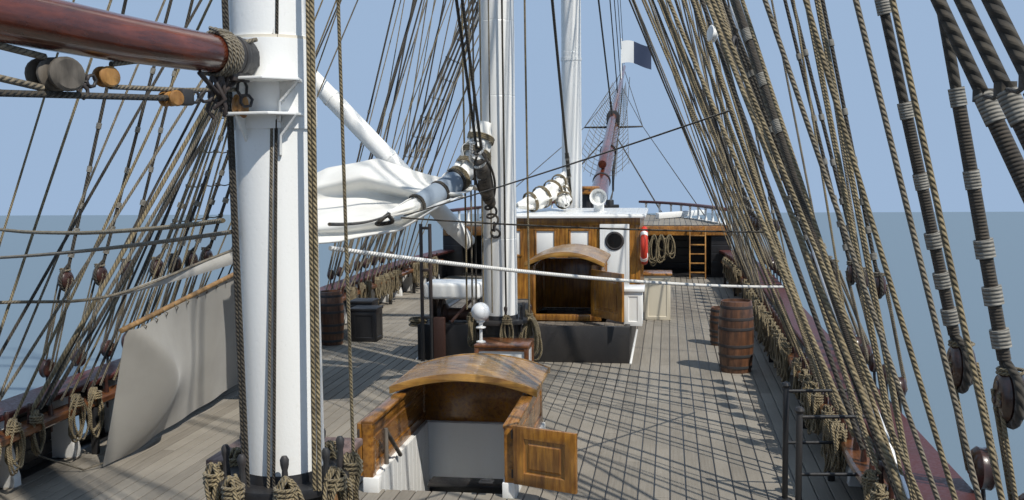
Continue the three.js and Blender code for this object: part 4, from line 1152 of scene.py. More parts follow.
def middle_companion():
    """Panelled companion on the hatch, with its arched roof and its stairs."""
    x0, x1, y0, y1, h0, h1 = (MID[k] for k in ("x0", "x1", "y0", "y1", "h0", "h1"))
    posts = [block(x - 0.035, x + 0.035, y - 0.035, y + 0.035, h0, h1, 0.006)
        for x in (x0 + 0.035, x1 - 0.035) for y in (y0 + 0.035, y1 - 0.035)]
    sides = []
    for y in (y0 + 0.03, y1 - 0.03):
        board = block(x0 + 0.06, x1 - 0.06, y - 0.02, y + 0.02, h0, h1 - 0.02, 0)
        sides.append(fielded(board, [(0.08, 0), (0.006, -0.01), (0.03, 0), (0.012, 0.006)]))
    sides.append(block(x1 - 0.055, x1 - 0.01, y0 + 0.05, y1 - 0.05, h0, h1 - 0.02, 0.004))
    rails = [block(x0, x1, y - 0.04, y + 0.04, h1 - 0.05, h1, 0.006) for y in (y0 + 0.035, y1 - 0.035)]
    rails += blocks((x0, x0 + 0.07, y0, y1, h0, h0 + 0.09, 0.006),
        (x0, x0 + 0.06, y0, y0 + 0.14, h0, h1, 0.006), (x0, x0 + 0.06, y1 - 0.1, y1, h0, h1, 0.006))
    piece(posts + sides + rails, "mid_companion_walls", VARNISH_UP, replaces=("mid_companion",),
        round_under=25)
    boards = planked_roof(y0 - 0.05, y1 + 0.05, h1 + 0.037, h1 + 0.2, x0 - 0.05, x1 + 0.05, 9)
    top = arch_rows(y0 - 0.05, y1 + 0.05, h1 + 0.04, h1 + 0.203, 0)
    front = plate([(p[1], p[2]) for p in top] + [(p[1], p[2] - 0.065) for p in top[::-1]], 0.035, "x",
        x0 - 0.08, 0.006)
    piece(boards + [front], "mid_companion_roof_boards", HOOD_WOOD, replaces=("mid_companion_roof",),
        round_under=25)
    # stairs, back board and floor inside the companion are dark brown as painted shade
    stairs = [block(1.75 + i * 0.16, 2.05 + i * 0.16, -0.95, -0.22, 0.4 - i * 0.25, 0.43 - i * 0.25, 0.005)
        for i in range(5)]
    stairs += blocks((2.78, 2.795, -1.0, -0.18, -1.65, 0.5, 0.003),
        (1.71, 2.79, -1.0, -0.18, -1.69, -1.66, 0.003))
    piece(stairs, "mid_companion_stairs", SHADE_BROWN, slot="varnished_wood", round_under=25)


hatch()
middle_companion()
door_leaf("mid_door_leaf", (MID["x0"] - 0.03, -0.97), (MID["h0"] + 0.09, 1.29), 0.78, -141,
    "mid_companion_door")


# Deckhouse

HOUSE = {"x0": 5.7, "x1": 8.2, "y0": -1.56, "y1": 1.28, "h": 1.8}
AFT_WINDOWS = (-0.44, 0.2, 0.84)
SIDE_WINDOWS = (6.5, 7.4)


def wall_boards(face, lo, hi, level, h0, h1, thick, holes):
    """Upright boards of one wall: face is 'x' or 'y', level its place on that axis, and each
    hole is (lo, hi, h0, h1)."""
    parts = []
    edges = sorted({e for hole in holes for e in hole[:2] if lo < e < hi})
    cuts = [lo] + edges + [hi]
    strips = [(p + (q - p) * i / m, p + (q - p) * (i + 1) / m) for p, q in zip(cuts, cuts[1:])
        for m in [max(1, round((q - p) / 0.11))] for i in range(m)]
    for a, b in strips:
        a, b = a + 0.0015, b - 0.0015
        spans = [(h0, h1)]
        for ha, hb, z0, z1 in holes:
            if a < hb - 0.01 and b > ha + 0.01:
                spans = [s for p, q in spans for s in ((p, min(q, z0)), (max(p, z1), q))
                    if s[1] - s[0] > 0.03]
        for p, q in spans:
            if face == "x":
                parts.append(block(level, level + thick, a, b, p, q, 0.004, 1))
            else:
                parts.append(block(a, b, level, level + thick, p, q, 0.004, 1))
    return parts


def window_frame(w, low, high, rail):
    """Two stiles and two rails of a frame, as (from, to, low, high) about its middle."""
    return ((-w, 0.035 - w, low, high), (w - 0.035, w, low, high), (-w, w, high - rail, high),
        (-w, w, low, low + rail))


def deckhouse():
    """Boarded house with windows, a white roof and a door with a port light."""
    x0, x1, y0, y1, top = (HOUSE[k] for k in ("x0", "x1", "y0", "y1", "h"))
    door = (-1.36, -0.82, 0.1, 1.69)
    aft_holes = [(y - 0.17, y + 0.17, 1.12, 1.56) for y in AFT_WINDOWS] + [door]
    side_holes = [(x - 0.2, x + 0.2, 1.1, 1.5) for x in SIDE_WINDOWS]
    parts = wall_boards("x", y0 + 0.07, y1 - 0.07, x0 + 0.008, 0.1, top, 0.045, aft_holes)
    parts += wall_boards("x", y0 + 0.07, y1 - 0.07, x1 - 0.053, 0.1, top, 0.045, [])
    for y in (y0 + 0.008, y1 - 0.053):
        parts += wall_boards("y", x0 + 0.07, x1 - 0.07, y, 0.1, top, 0.045, side_holes)
    parts += [block(x, x + 0.085, y, y + 0.085, 0.002, top, 0.01) for x in (x0 - 0.001, x1 - 0.084)
        for y in (y0, y1 - 0.085)]
    parts.append(block(x0 - 0.012, x0 + 0.03, y0, y1, top - 0.13, top, 0.008))
    for y in AFT_WINDOWS:
        parts += [block(x0 - 0.008, x0 + 0.05, y + a, y + b, low, high, 0.004)
            for a, b, low, high in window_frame(0.2, 1.08, 1.6, 0.04)]
    for wy in (y0 - 0.008, y1 - 0.042):
        for x in SIDE_WINDOWS:
            parts += [block(x + a, x + b, wy, wy + 0.05, low, high, 0.004)
                for a, b, low, high in window_frame(0.23, 1.07, 1.53, 0.03)]
    piece(parts, "deckhouse_boards", VARNISH_UP, replaces=("deckhouse",), round_under=25)
    panes = [block(x0 + 0.012, x0 + 0.02, y - 0.168, y + 0.168, 1.12, 1.56, 0.002) for y in AFT_WINDOWS]
    panes += [block(x - 0.198, x + 0.198, wy, wy + 0.008, 1.1, 1.5, 0.002) for x in SIDE_WINDOWS
        for wy in (y0 + 0.012, y1 - 0.02)]
    piece(panes, "deckhouse_blinds", WHITE)
    roof = [block(x0 - 0.1, x1 + 0.1, y0 - 0.1, y1 + 0.1, top + 0.002, top + 0.062, 0.02, 3)]
    for i in range(18):
        y = y0 - 0.08 + i * (y1 - y0 + 0.16) / 18
        roof.append(block(x0 - 0.08, x1 + 0.08, y, y + (y1 - y0 + 0.16) / 18 - 0.004, top + 0.05,
            top + 0.075, 0.005, 1))
    piece(roof, "deckhouse_roof_boards", WHITE, replaces=("deckhouse_roof",), round_under=25)
    base = [block(x0 - 0.02, x1 + 0.02, y, y + 0.03, 0.001, 0.11, 0.006) for y in (y0 - 0.02, y1 - 0.01)]
    base += [block(x, x + 0.03, y0 - 0.02, y1 + 0.02, 0.001, 0.11, 0.006) for x in (x0 - 0.02, x1 - 0.01)]
    piece(base, "deckhouse_plinth", BLACK)
    # door with a port light
    leaf = block(x0 - 0.045, x0 - 0.007, door[0], door[1], 0.09, 1.69, 0)
    inset_face(leaf, (-1, 0, 0), [(0.07, 0), (0.006, -0.008), (0.02, 0), (0.01, 0.004)])
    applied(leaf, "BEVEL", width=0.003, segments=2, limit_method="ANGLE", angle_limit=0.9)
    piece(leaf, "deckhouse_door_leaf", WHITE, "deckhouse_door", replaces=("deckhouse_door",),
        round_under=25)
    ring = turned([(0.13, -0.012), (0.17, -0.01), (0.175, 0), (0.165, 0.008), (0.14, 0.01), (0.13, 0.0),
        (0.13, -0.012)], (x0 - 0.05, -1.09, 1.38), (-1, 0, 0), 40)
    glass = disc(0.14, 0, 0.004, (x0 - 0.05, -1.09, 1.38), (-1, 0, 0), 40)
    piece(ring, "deckhouse_port_rim", IRON, "deckhouse_door")
    piece(glass, "deckhouse_port_glass", DARK_GLASS, "deckhouse_door")
    handle = [bar((x0 - 0.05, -0.88, 0.95), (x0 - 0.09, -0.88, 0.95), 0.01, sides=12),
        bar((x0 - 0.09, -0.88, 0.95), (x0 - 0.09, -0.97, 0.95), 0.009, sides=12)]
    piece(handle, "deckhouse_door_handle", BRASS, "deckhouse_door")


deckhouse()


# Bulwarks, rails and channels

SIDES = (("port", 1), ("starboard", -1))
CAP_UNDER = 0.62
PIN_SHELF = (0.48, 0.56)
# knee outline as (inboard, height), and the heights of the bulwark's strakes
KNEE = ((0.05, 0.002), (0.34, 0.002), (0.335, 0.1), (0.29, 0.3), (0.25, 0.45), (0.23, 0.61), (0.05, 0.61))
KNEE_GAP = 0.92
STRAKES = ((0.003, 0.06), (0.064, 0.182), (0.186, 0.3), (0.304, 0.41), (0.414, 0.515), (0.519, 0.616))


def side_path(x0, x1, s, n):
    """Places along the deck edge; s is 1 to port and -1 to starboard."""
    return [(x, s * half(x)) for x in spread(x0, x1, n)]


def swept(path, profile, s, rise=None):
    """Moulding along [x, y] points: profile is (outboard, height)."""
    rings = []
    for i, (x, y) in enumerate(path):
        before, after = path[max(0, i - 1)], path[min(len(path) - 1, i + 1)]
        run = hypot(after[0] - before[0], after[1] - before[1])
        nx, ny = -(after[1] - before[1]) / run * s, (after[0] - before[0]) / run * s
        lift = rise(x) if rise else 0.0
        rings.append([(x + nx * o, y + ny * o, h + lift) for o, h in profile])
    return loft(rings)


def eased(o0, o1, h0, h1, e):
    """Rectangle in (outboard, height) with its corners taken off."""
    return [(o0 + e, h0), (o1 - e, h0), (o1, h0 + e), (o1, h1 - e), (o1 - e, h1), (o0 + e, h1),
        (o0, h1 - e), (o0, h0 + e)]


def bulwark(name, s):
    """One side's strakes, knees, cap rail, and pin rail with its pins and coils."""
    path = side_path(POOP_X + 0.001, FORE_X - 0.001, s, 60)
    ports = []
    x, i = POOP_X + 0.45, 0
    knees = []
    while x < FORE_X - 0.3:
        b = half(x)
        outline = [(s * (b - inboard), h) for inboard, h in KNEE]
        knees.append(moved(plate(outline, 0.1, "x", 0, 0.012), Matrix.Translation((x - 0.05, 0, 0))))
        if i % 3 == 1:
            ports.append((x + 0.2, x + 0.72))
        x += KNEE_GAP
        i += 1
    strakes = []
    for h0, h1 in STRAKES:
        spans = [(POOP_X + 0.001, FORE_X - 0.001)]
        if 0.06 < (h0 + h1) / 2 < 0.3:
            for a, b in ports:
                spans = [t for p, q in spans for t in ((p, min(q, a)), (max(p, b), q))
                    if t[1] - t[0] > 0.02]
        for a, b in spans:
            n = max(2, round((b - a) / 0.4))
            strakes.append(swept(side_path(a, b, s, n), eased(-0.09, 0.0, h0, h1, 0.006), s))
    piece(strakes, f"bulwark_{name}_strakes", BLACK, replaces=(f"bulwark_{name}",), round_under=25)
    piece(knees, f"bulwark_{name}_knees", WHITE, round_under=25)
    cap = swept(path, [(-0.29, 0.622), (0.07, 0.622), (0.08, 0.635), (0.08, 0.668), (0.068, 0.68),
        (-0.288, 0.68), (-0.3, 0.668), (-0.3, 0.634)], s)
    piece(cap, f"cap_rail_{name}_board", MAROON, replaces=(f"cap_rail_{name}",), round_under=40)
    # pin rail with a rounded inner edge, swelling where pins stand close together
    rings = []
    for x in spread(-9.8, 10.6, 120):
        swell = 0.03 * max(0.0, sin((x + 9.8) * 1.7)) ** 2
        b = half(x)
        o0, o1 = -0.52 + 0.03 - swell, -0.3
        rings.append([(x, s * (b + o), h) for o, h in eased(o0, o1, *PIN_SHELF, 0.018)])
    piece(loft(rings), f"pin_rail_{name}_shelf", PIN_WOOD, replaces=(f"pin_rail_{name}",), round_under=40)
    props = []
    for x in spread(-9.2, 10.2, 11):
        y0, y1 = sorted((s * (half(x) - 0.49), s * (half(x) - 0.43)))
        props.append(block(x - 0.03, x + 0.03, y0, y1, 0.002, PIN_SHELF[0], 0.008))
    piece(props, f"pin_rail_{name}_props", BLACK)
    places, runs = [], []
    rnd = random.Random(4 + s)
    for k, x in enumerate(spread(-9.5, 10.3, 64)):
        y = s * (half(x) - 0.43)
        places.append(at(x, y, PIN_SHELF[1]))
        if rnd.random() < 0.78:
            runs += coil(x, y - s * 0.02, PIN_SHELF[1] + 0.12, -90 * s, rnd.uniform(0.38, 0.56),
                rnd.uniform(0.12, 0.2), rnd.choice((4, 5, 7)), 10 * k + s, rnd.uniform(0.009, 0.013))
    piece(copies(pin_shape(), places), f"pins_{name}", LIGNUM)
    rope(runs, f"pin_coils_{name}", 0.012, MANILA, sides=5)


for side_name, side_sign in SIDES:
    bulwark(side_name, side_sign)


# Shrouds and backstays

# feet of the lower shrouds, topmast backstays and royal backstays, and the largest deadeye
RIG = {
    "fore": ((8.6, 8.05, 7.5, 6.95, 6.4), (5.8, 5.3), (4.8,), 0.11),
    "main": ((-0.85, -1.3, -1.75, -2.2), (-2.65, -3.2), (-3.75,), 0.11),
    "mizzen": ((-10.0, -10.35, -10.7), (-6.12, -7.05), (), 0.14),
}
DEADEYE_H, DEADEYE_SPAN = 0.82, {"fore": 0.9, "main": 0.9, "mizzen": 0.7}
COLLAR_DOWN = {1: 0.95, -1: 1.1}
SEIZED_AT = (0.12, 0.36, 0.62, 1.0, 1.45, 2.1)
RATLINES_FROM, RATLINE_GAP = 2.2, 0.4


def eye_places(r):
    """Centres of a deadeye's three eyes."""
    return [Vector((0.42 * r * cos(radians(a)), 0, 0.42 * r * sin(radians(a)))) for a in (90, 210, 330)]


def deadeye(r):
    """Turned hardwood disc, its axis along Y, grooved round the edge and with three eyes."""
    obj = turned([(0, -0.52), (0.62, -0.5), (0.86, -0.42), (1.0, -0.24), (0.93, 0), (1.0, 0.24),
        (0.86, 0.42), (0.62, 0.5), (0, 0.52)], (0, 0, 0), (0, 1, 0), 28)
    obj.data.transform(Matrix.Diagonal((r, r, r, 1)))
    eyes = []
    back = [(0, -0.56 * r), (0.15 * r, -0.56 * r), (0.19 * r, -0.52 * r), (0.15 * r, -0.45 * r),
        (0, -0.45 * r)]
    for off in eye_places(r):
        for rim in (back, [(out, -y) for out, y in back[::-1]]):
            eyes.append(turned(rim, off, (0, 1, 0), 10))
    return together([obj] + eyes)


def shroud_lines(mast, s):
    """(x, low, up, tip, is_lower, deadeye radius) for each rope of one side."""
    feet, high, royal, big = RIG[mast]
    mx, hounds, trees, head, truck = MAST_PLACES[mast]
    tx = mx + TOPMAST_AHEAD
    collar = hounds - COLLAR_DOWN[s]
    for group in (feet, high, royal):
        for i, x in enumerate(group):
            lower = group is feet
            r = big if big > 0.12 else 0.11 if lower else 0.095
            if lower:
                tip = Vector((mx + 0.08 - 0.075 * i, s * 0.265, collar + 0.05))
            elif group is high:
                tip = Vector((tx - 0.1 - 0.1 * i, s * 0.17, trees - 0.2 + 3.6 * (0 if head else i)))
            else:
                tip = Vector((tx + 0.3, s * 0.1, truck - 3.4))
            low = Vector((x, s * (half(x) + 0.13), DEADEYE_H))
            up = low + (tip - low).normalized() * DEADEYE_SPAN[mast]
            yield x, low, up, tip, lower, r


def shrouds(mast, side, s):
    """One side's shrouds and backstays with deadeyes, lanyards, channel and ratlines."""
    node = f"{mast}_shrouds_{side}"
    heavy = mast == "mizzen"
    lines = list(shroud_lines(mast, s))
    ropes, served, lanyards, seizing = [], [], [], []
    places = {0.095: [], 0.11: [], 0.14: []}
    for _, low, up, tip, lower, r in lines:
        thick = 0.022 if lower else 0.03 if heavy else 0.018
        way = (tip - low).normalized()
        start = up + way * (r + 0.02)
        ropes.append(([start, start.lerp(tip, 0.5), tip], thick))
        # the shroud turns round the deadeye and is seized to itself
        loop = [up + Vector((sin(a) * (r + thick * 0.4), 0, -cos(a) * (r + thick * 0.4)))
            for a in spread(-2.5, 2.5, 16)]
        ropes.append((loop + [start + way * 0.05], thick * 0.9))
        ropes.append(([loop[0], start + way * 0.06, start + way * 0.9], thick * 0.8))
        served.append(([start + way * 0.05, start + way * 1.5], thick * 1.22))
        for t in SEIZED_AT:
            seizing.append(([start + way * t, start + way * (t + (0.1 if heavy else 0.06))],
                thick * (1.75 if t < 1 else 1.45)))
        places[r] += [Matrix.Translation(low), Matrix.Translation(up)]
        for off in eye_places(r):
            for face in (-0.56, 0.56):
                side_off = Vector((0, face * r, 0))
                lanyards.append(([low + off + side_off, up + off * Vector((1, 1, -1)) + side_off],
                    0.013 if heavy else 0.01))
        lanyards.append(([up + Vector((0, 0, r * 0.9))
            + Vector((cos(a) * r * 0.45, sin(a) * r * 0.5, 0.02 * a / 6)) for a in spread(0, 9, 14)],
            0.011))
    if heavy:
        rope(served, f"{node}_service", 0.03, SERVICE, sides=12)
    rope(ropes, f"{node}_ropes", 0.02, TARRED, sides=8, replaces=(node,), slot="tarred_rope")
    rope(seizing, f"{node}_seizings", 0.03, SEIZING, sides=10)
    rope(lanyards, f"{node}_lanyards", 0.01, MANILA if heavy else HEMP, sides=6)
    eyes = [copies(deadeye(r), where) for r, where in places.items() if where]
    piece(eyes, f"{node}_deadeyes", LIGNUM, round_under=40)
    xs = [line[0] for line in lines]
    ends = max(min(xs) - 0.2, POOP_X + 0.1), max(xs) + 0.2
    channel = swept(side_path(*ends, s, 12), eased(0.012, 0.2, CAP_UNDER - 0.16, CAP_UNDER - 0.08, 0.01), s)
    irons = []
    for x, low, _, _, _, r in lines:
        edge = (x, s * (half(x) + 0.15), 0.5)
        irons.append(bar(low + Vector((0, 0, -r * 0.7)), edge, 0.014, sides=8))
        irons.append(bar(edge, (x, s * (half(x) + 0.02), -0.05), 0.014, sides=8))
        irons.append(turned([(0, -0.012), (0.028, -0.01), (0.03, 0.006), (0.016, 0.014), (0, 0.014)],
            (x, s * (half(x) + 0.022), -0.05), (0, s, 0), 10))
    piece([channel] + irons, f"{node}_channel", BLACK)
    # ratlines across the lower shrouds
    feet = [line for line in lines if line[4]]
    lower_top = MAST_PLACES[mast][1] - 1.6
    rungs = []
    h = RATLINES_FROM
    while h < lower_top:
        pts = sorted((low.lerp(tip, (h - low.z) / (tip.z - low.z)) for _, low, _, tip, _, _ in feet),
            key=lambda p: p.x)
        full = [pts[0] + (pts[0] - pts[1]) * 0.15]
        for a, b in zip(pts, pts[1:]):
            full += [a, a.lerp(b, 0.5) - Vector((0, 0, 0.018))]
        full += [pts[-1], pts[-1] + (pts[-1] - pts[-2]) * 0.15]
        rungs.append((full, 0.0075))
        for p in pts:
            rungs.append(([p + Vector((0, 0, -0.02)), p + Vector((0, 0, 0.02))], 0.032))
        h += RATLINE_GAP
    rope(rungs, f"{node}_ratlines", 0.008, TARRED, sides=5, slot="tarred_rope")
    collar = MAST_PLACES[mast][1] - COLLAR_DOWN[s]
    wraps = [([(MAST_PLACES[mast][0] + 0.245 * cos(a), 0.245 * sin(a), collar + 0.02 + 0.03 * k)
        for a in spread(0, TURN, 24)], 0.028) for k in range(3)]
    rope(wraps, f"{node}_collar", 0.028, TARRED, sides=8, slot="tarred_rope")


for rig_name in RIG:
    for side_name, side_sign in SIDES:
        shrouds(rig_name, side_name, side_sign)


# Stays

def spritline(x, up=0.0):
    """Place on the bowsprit's axis, or above it by up."""
    return Vector((x, 0, 2.0 + (x - 17.7) * (6.9 - 2.0) / (35.0 - 17.7) + up))


def stays():
    """Fore and main stays, doubled and seized at their lower ends."""
    lines = [("fore_stay", [(9.58, 0, 11.1), spritline(24.6, 0.62)], 0.028),
        ("main_stay", [(0.08, 0, 11.7), (8.55, 0, 2.2)], 0.028)]
    for name, pts, r in lines:
        a, b = Vector(pts[0]), Vector(pts[1])
        way = (b - a).normalized()
        rope([([a, a.lerp(b, 0.5), b], r), ([b - way * 1.1, b - way * 0.45], r * 1.5)], f"{name}_rope", r,
            TARRED, replaces=(name,), sides=10, slot="tarred_rope")
        rope([([b - way * t, b - way * (t - 0.05)], r * 1.75) for t in (0.5, 0.75, 1.0)],
            f"{name}_seizings", r, SEIZING, sides=10)


stays()


# Running rigging: ropes from the pins up to each mast

ROPE_KEYS = {"tan": MANILA, "grey": HEMP, "tar": TARRED}


def falls(name, mast_x, table, s):
    """table rows: pin x, height on the mast, place ahead of it, rope radius, finish key."""
    groups = {}
    for x, top, ahead, r, key in table:
        foot = Vector((x, s * (half(x) - 0.44), PIN_SHELF[1] + 0.1))
        head = Vector((mast_x + ahead, s * 0.24, top))
        mid = foot.lerp(head, 0.45) - Vector((0, 0, 0.02 + 4 * r))
        groups.setdefault(key, []).append(([foot, foot.lerp(head, 0.22) - Vector((0, 0, 0.015 + 2.5 * r)),
            mid, foot.lerp(head, 0.75) - Vector((0, 0, 0.01 + 2 * r)), head], r))
    for key, runs in groups.items():
        rope(runs, f"{name}_{key}", 0.01, ROPE_KEYS[key], sides=6)


MAIN_FALLS = [(-4.6, 8.9, 0.2, 0.019, "tar"), (-4.72, 9.1, 0.25, 0.017, "grey"),
    (-4.85, 9.3, 0.1, 0.021, "tan"), (-4.4, 9.6, 0.2, 0.011, "grey"), (-4.25, 10.2, 0.2, 0.011, "tan"),
    (-4.05, 10.8, 0.1, 0.012, "tar"), (-3.9, 11.0, 0.3, 0.017, "tar"), (-3.75, 11.3, 0.0, 0.012, "grey"),
    (-3.5, 11.5, 0.2, 0.012, "tan"), (-3.3, 11.9, 0.2, 0.018, "grey"), (-3.1, 12.3, 0.3, 0.011, "tan"),
    (-2.95, 12.8, 0.1, 0.011, "grey"), (-2.7, 13.3, 0.2, 0.013, "tan"), (-2.45, 13.6, 0.2, 0.013, "grey"),
    (-2.2, 9.4, 0.3, 0.01, "tan"), (-1.95, 8.6, 0.2, 0.01, "tar"), (-1.6, 9.2, 0.3, 0.01, "tan"),
    (-1.3, 8.2, 0.2, 0.009, "grey"), (-1.0, 9.5, 0.3, 0.009, "tan"), (-5.45, 13.4, 0.2, 0.012, "grey"),
    (-5.7, 17.2, 0.4, 0.013, "tan"), (-6.0, 19.6, 0.5, 0.01, "tan")]
FORE_FALLS = [(8.3 - 0.26 * i, (9.0, 10.6, 12.4, 15.2, 16.6, 18.8, 21.4, 23.6)[i % 8], 0.2 + 0.05 * (i % 4),
    0.01 + 0.003 * (i % 3), ("tan", "grey", "tar")[i % 3]) for i in range(22)]
MIZZEN_FALLS = [(-8.3 - 0.3 * i, (8.7, 10.4, 12.0, 14.5, 16.4, 20.6)[i % 6], 0.1, 0.011,
    ("tan", "grey")[i % 2]) for i in range(5)]
MAIN_STARBOARD = [(-6.9, 10.8, 0.25, 0.02, "tan"), (-6.5, 11.1, 0.25, 0.018, "tar"),
    (-6.6, 12.6, 0.25, 0.02, "grey"), (-6.8, 13.2, 0.25, 0.016, "tan"), (-5.8, 12.0, 0.25, 0.016, "tan"),
    (-5.6, 12.3, 0.25, 0.014, "grey"), (-5.2, 11.2, 0.25, 0.02, "tar"), (-4.1, 11.0, 0.25, 0.016, "tan"),
    (-2.9, 11.7, 0.25, 0.012, "grey"), (-3.2, 10.6, 0.25, 0.014, "tan"), (-2.3, 8.4, 0.25, 0.012, "tan"),
    (-1.45, 8.9, 0.25, 0.012, "tar"), (-0.9, 8.4, 0.25, 0.012, "tan"), (-0.5, 10.7, 0.25, 0.016, "tar"),
    (-5.0, 20.1, 0.5, 0.009, "grey"), (-5.4, 24.3, 0.6, 0.009, "tan"), (-6.72, 21.9, 0.5, 0.012, "tan"),
    (-6.62, 21.8, 0.5, 0.012, "tan"), (-7.05, 22.8, 0.5, 0.012, "tan"), (-6.95, 22.7, 0.5, 0.012, "tan"),
    (-6.4, 26.0, 0.55, 0.009, "grey"), (1.6, 9.0, 0.25, 0.012, "grey"), (5.3, 9.4, 0.25, 0.012, "tan"),
    (5.8, 8.1, 0.25, 0.014, "tar")]
for side_name, side_sign in SIDES:
    table = MAIN_FALLS if side_sign > 0 else MAIN_STARBOARD + MAIN_FALLS[2:20:2]
    falls(f"main_falls_{side_name}", MAIN_X, table, side_sign)
    falls(f"fore_falls_{side_name}", FOREMAST_X, FORE_FALLS, side_sign)
    falls(f"mizzen_falls_{side_name}", MIZZEN_X, MIZZEN_FALLS, side_sign)


# Yards with their irons, footropes and furling gear

YARD_SIZES = {"fore": 0.93, "main": 1.0}


def yards(mast):
    """The four yards of one mast, with irons, jackstays and footropes."""
    mx, hounds, _, head, _ = MAST_PLACES[mast]
    gx = mx + TOPMAST_AHEAD + TOPGALLANT_AHEAD
    # mast's place, height, place ahead of it, half length, radius, and the mast's radius there
    table = {
        "course": (mx, hounds - 1.75, 0.78, 7.3, 0.15, 0.22),
        "topsail": (mx + TOPMAST_AHEAD, MASTS[mast][3] + 0.5, 0.5, 6.0, 0.13, 0.145),
        "topgallant": (gx, head + 0.7, 0.32, 4.3, 0.1, 0.092),
        "royal": (gx, head + 3.4, 0.27, 3.1, 0.08, 0.08),
    }
    for yard, (x, h, ahead, length, r, mast_r) in table.items():
        node = f"{mast}_{yard}_yard"
        end = length * YARD_SIZES[mast]
        profile = [(r * (1 - 0.5 * abs(t) ** 2.2), t * end) for t in spread(-1, 1, 28)]
        body = turned([(0, -end)] + profile + [(0, end)], (x + ahead, 0, h), (0, 1, 0), 24)
        piece(body, f"{node}_spar", OCHRE_ACROSS, node, replaces=(node,))
        irons = [disc(r + 0.012, -0.03, 0.03, (x + ahead, y, h), (0, 1, 0), 24)
            for y in (-0.22, 0.22, -end * 0.5, end * 0.5)]
        irons.append(block(x + mast_r + 0.03, x + ahead - r * 0.6, -0.05, 0.05, h - 0.05, h + 0.05, 0.01))
        irons += [bar((x + ahead - 0.02, s * end * t, h + r * 0.7),
            (x + ahead - 0.02, s * end * t, h + r + 0.04), 0.01, sides=6) for s in (-1, 1)
            for t in (0.06, 0.25, 0.44, 0.62, 0.8, 0.95)]
        irons.append(bar((x + ahead - 0.02, -end * 0.97, h + r + 0.035),
            (x + ahead - 0.02, end * 0.97, h + r + 0.035), 0.012, sides=8))
        piece(irons, f"{node}_irons", IRON, node)
        runs = []
        for s in (-1, 1):
            drop = min(0.75, 0.15 * length)
            pts = [Vector((x + ahead - 0.03, s * (0.3 + (end * 0.97 - 0.3) * t),
                h - r * 0.5 - drop * sin(pi * t) ** 0.8)) for t in spread(0, 1, 14)]
            runs.append((pts, 0.013))
            for t in (0.25, 0.5, 0.75):
                p = pts[round(t * 14)]
                runs.append(([Vector((x + ahead, p.y, h - r * 0.3)), p], 0.008))
        rope(runs, f"{node}_footropes", 0.012, TARRED, node, sides=6, slot="tarred_rope")


for yard_mast in YARD_SIZES:
    yards(yard_mast)


# Upper masts with their light stays

def on_jib_boom(x):
    """Place on top of the jib boom."""
    return spritline(x, JIB_UP + 0.16)


# height on the mast, lower end, radius
LIGHT_STAYS = {
    "fore": ((16.5, on_jib_boom(28.6), 0.022), (17.9, on_jib_boom(31.2), 0.018),
             (20.5, on_jib_boom(33.2), 0.015), (23.9, on_jib_boom(34.7), 0.013)),
    "main": ((17.5, (8.6, 0, 12.0), 0.02), (19.0, (9.1, 0, 13.9), 0.016), (22.3, (9.1, 0, 17.4), 0.014),
             (25.8, (9.48, 0, 20.4), 0.012)),
    "mizzen": ((13.2, (-0.9, 0, 9.1), 0.018), (16.8, (-0.85, 0, 12.6), 0.016),
               (21.4, (-0.45, 0, 17.2), 0.012)),
}


def upper_mast(mast):
    """Topmast, and a topgallant mast where there is one, with trees, truck and light stays."""
    x, hounds, trees, head, truck = MAST_PLACES[mast]
    cap = MASTS[mast][3]
    tx = x + TOPMAST_AHEAD
    gx = tx + TOPGALLANT_AHEAD
    foot = hounds + 0.02
    if head:
        lower = [(0, foot), (0.13, foot), (0.15, foot + 0.08), (0.15, cap + 0.2), (0.136, cap + 0.6),
            (0.13, trees - 0.33), (0.14, trees - 0.3), (0.2, trees - 0.06), (0.11, trees - 0.05),
            (0.1, head - 0.02), (0, head - 0.02)]
        upper = [(0, trees - 0.04), (0.095, trees - 0.04), (0.095, head), (0.09, head + 0.3),
            (0.047, truck - 0.02), (0, truck - 0.02)]
        poles = [turned(lower, (tx, 0, 0), sides=32), turned(upper, (gx, 0, 0), sides=28)]
        white = [block(tx - 0.17, gx + 0.17, -0.15, 0.15, head - 0.18, head, 0.03)]
        white += [block(tx - 0.45, tx + 0.62, y - 0.05, y + 0.05, trees - 0.1, trees, 0.012)
            for y in (-0.17, 0.17)]
        for dx, reach in ((-0.25, 0.85), (0.55, 0.7)):
            white.append(plate([(-reach, trees), (-0.3, trees - 0.06), (0.3, trees - 0.06), (reach, trees),
                (reach, trees + 0.04), (-reach, trees + 0.04)], 0.09, "x", tx + dx - 0.045, 0.01))
        ball = gx
    else:
        pole = [(0, foot), (0.13, foot), (0.15, foot + 0.08), (0.15, cap + 0.6), (0.14, cap + 0.68),
            (0.052, truck - 0.02), (0, truck - 0.02)]
        poles = [turned(pole, (tx, 0, 0), sides=32)]
        white = [block(tx - 0.05, tx + 0.05, -0.6, 0.6, trees - 0.05, trees + 0.03, 0.012)]
        ball = tx
    white.append(turned([(0, truck - 0.02), (0.06, truck - 0.015), (0.09, truck), (0.08, truck + 0.03),
        (0.04, truck + 0.055), (0, truck + 0.06)], (ball, 0, 0), sides=24))
    piece(poles, f"{mast}_poles", POLE, replaces=(f"{mast}_topmast",))
    piece(white, f"{mast}_trees_and_truck", WHITE, round_under=30)
    rope([([(gx if head and h > trees + 0.5 else tx, 0, h), low], r) for h, low, r in LIGHT_STAYS[mast]],
        f"{mast}_light_stays", 0.02, TARRED, slot="tarred_rope")


for mast_name in MAST_PLACES:
    upper_mast(mast_name)


# Bowsprit, jib boom and their stays

def net_middle(t):
    """Place on the spars over the net, t from its after end to its fore end."""
    return spritline(18.8 + 11.7 * t, JIB_UP * min(1, t * 3))


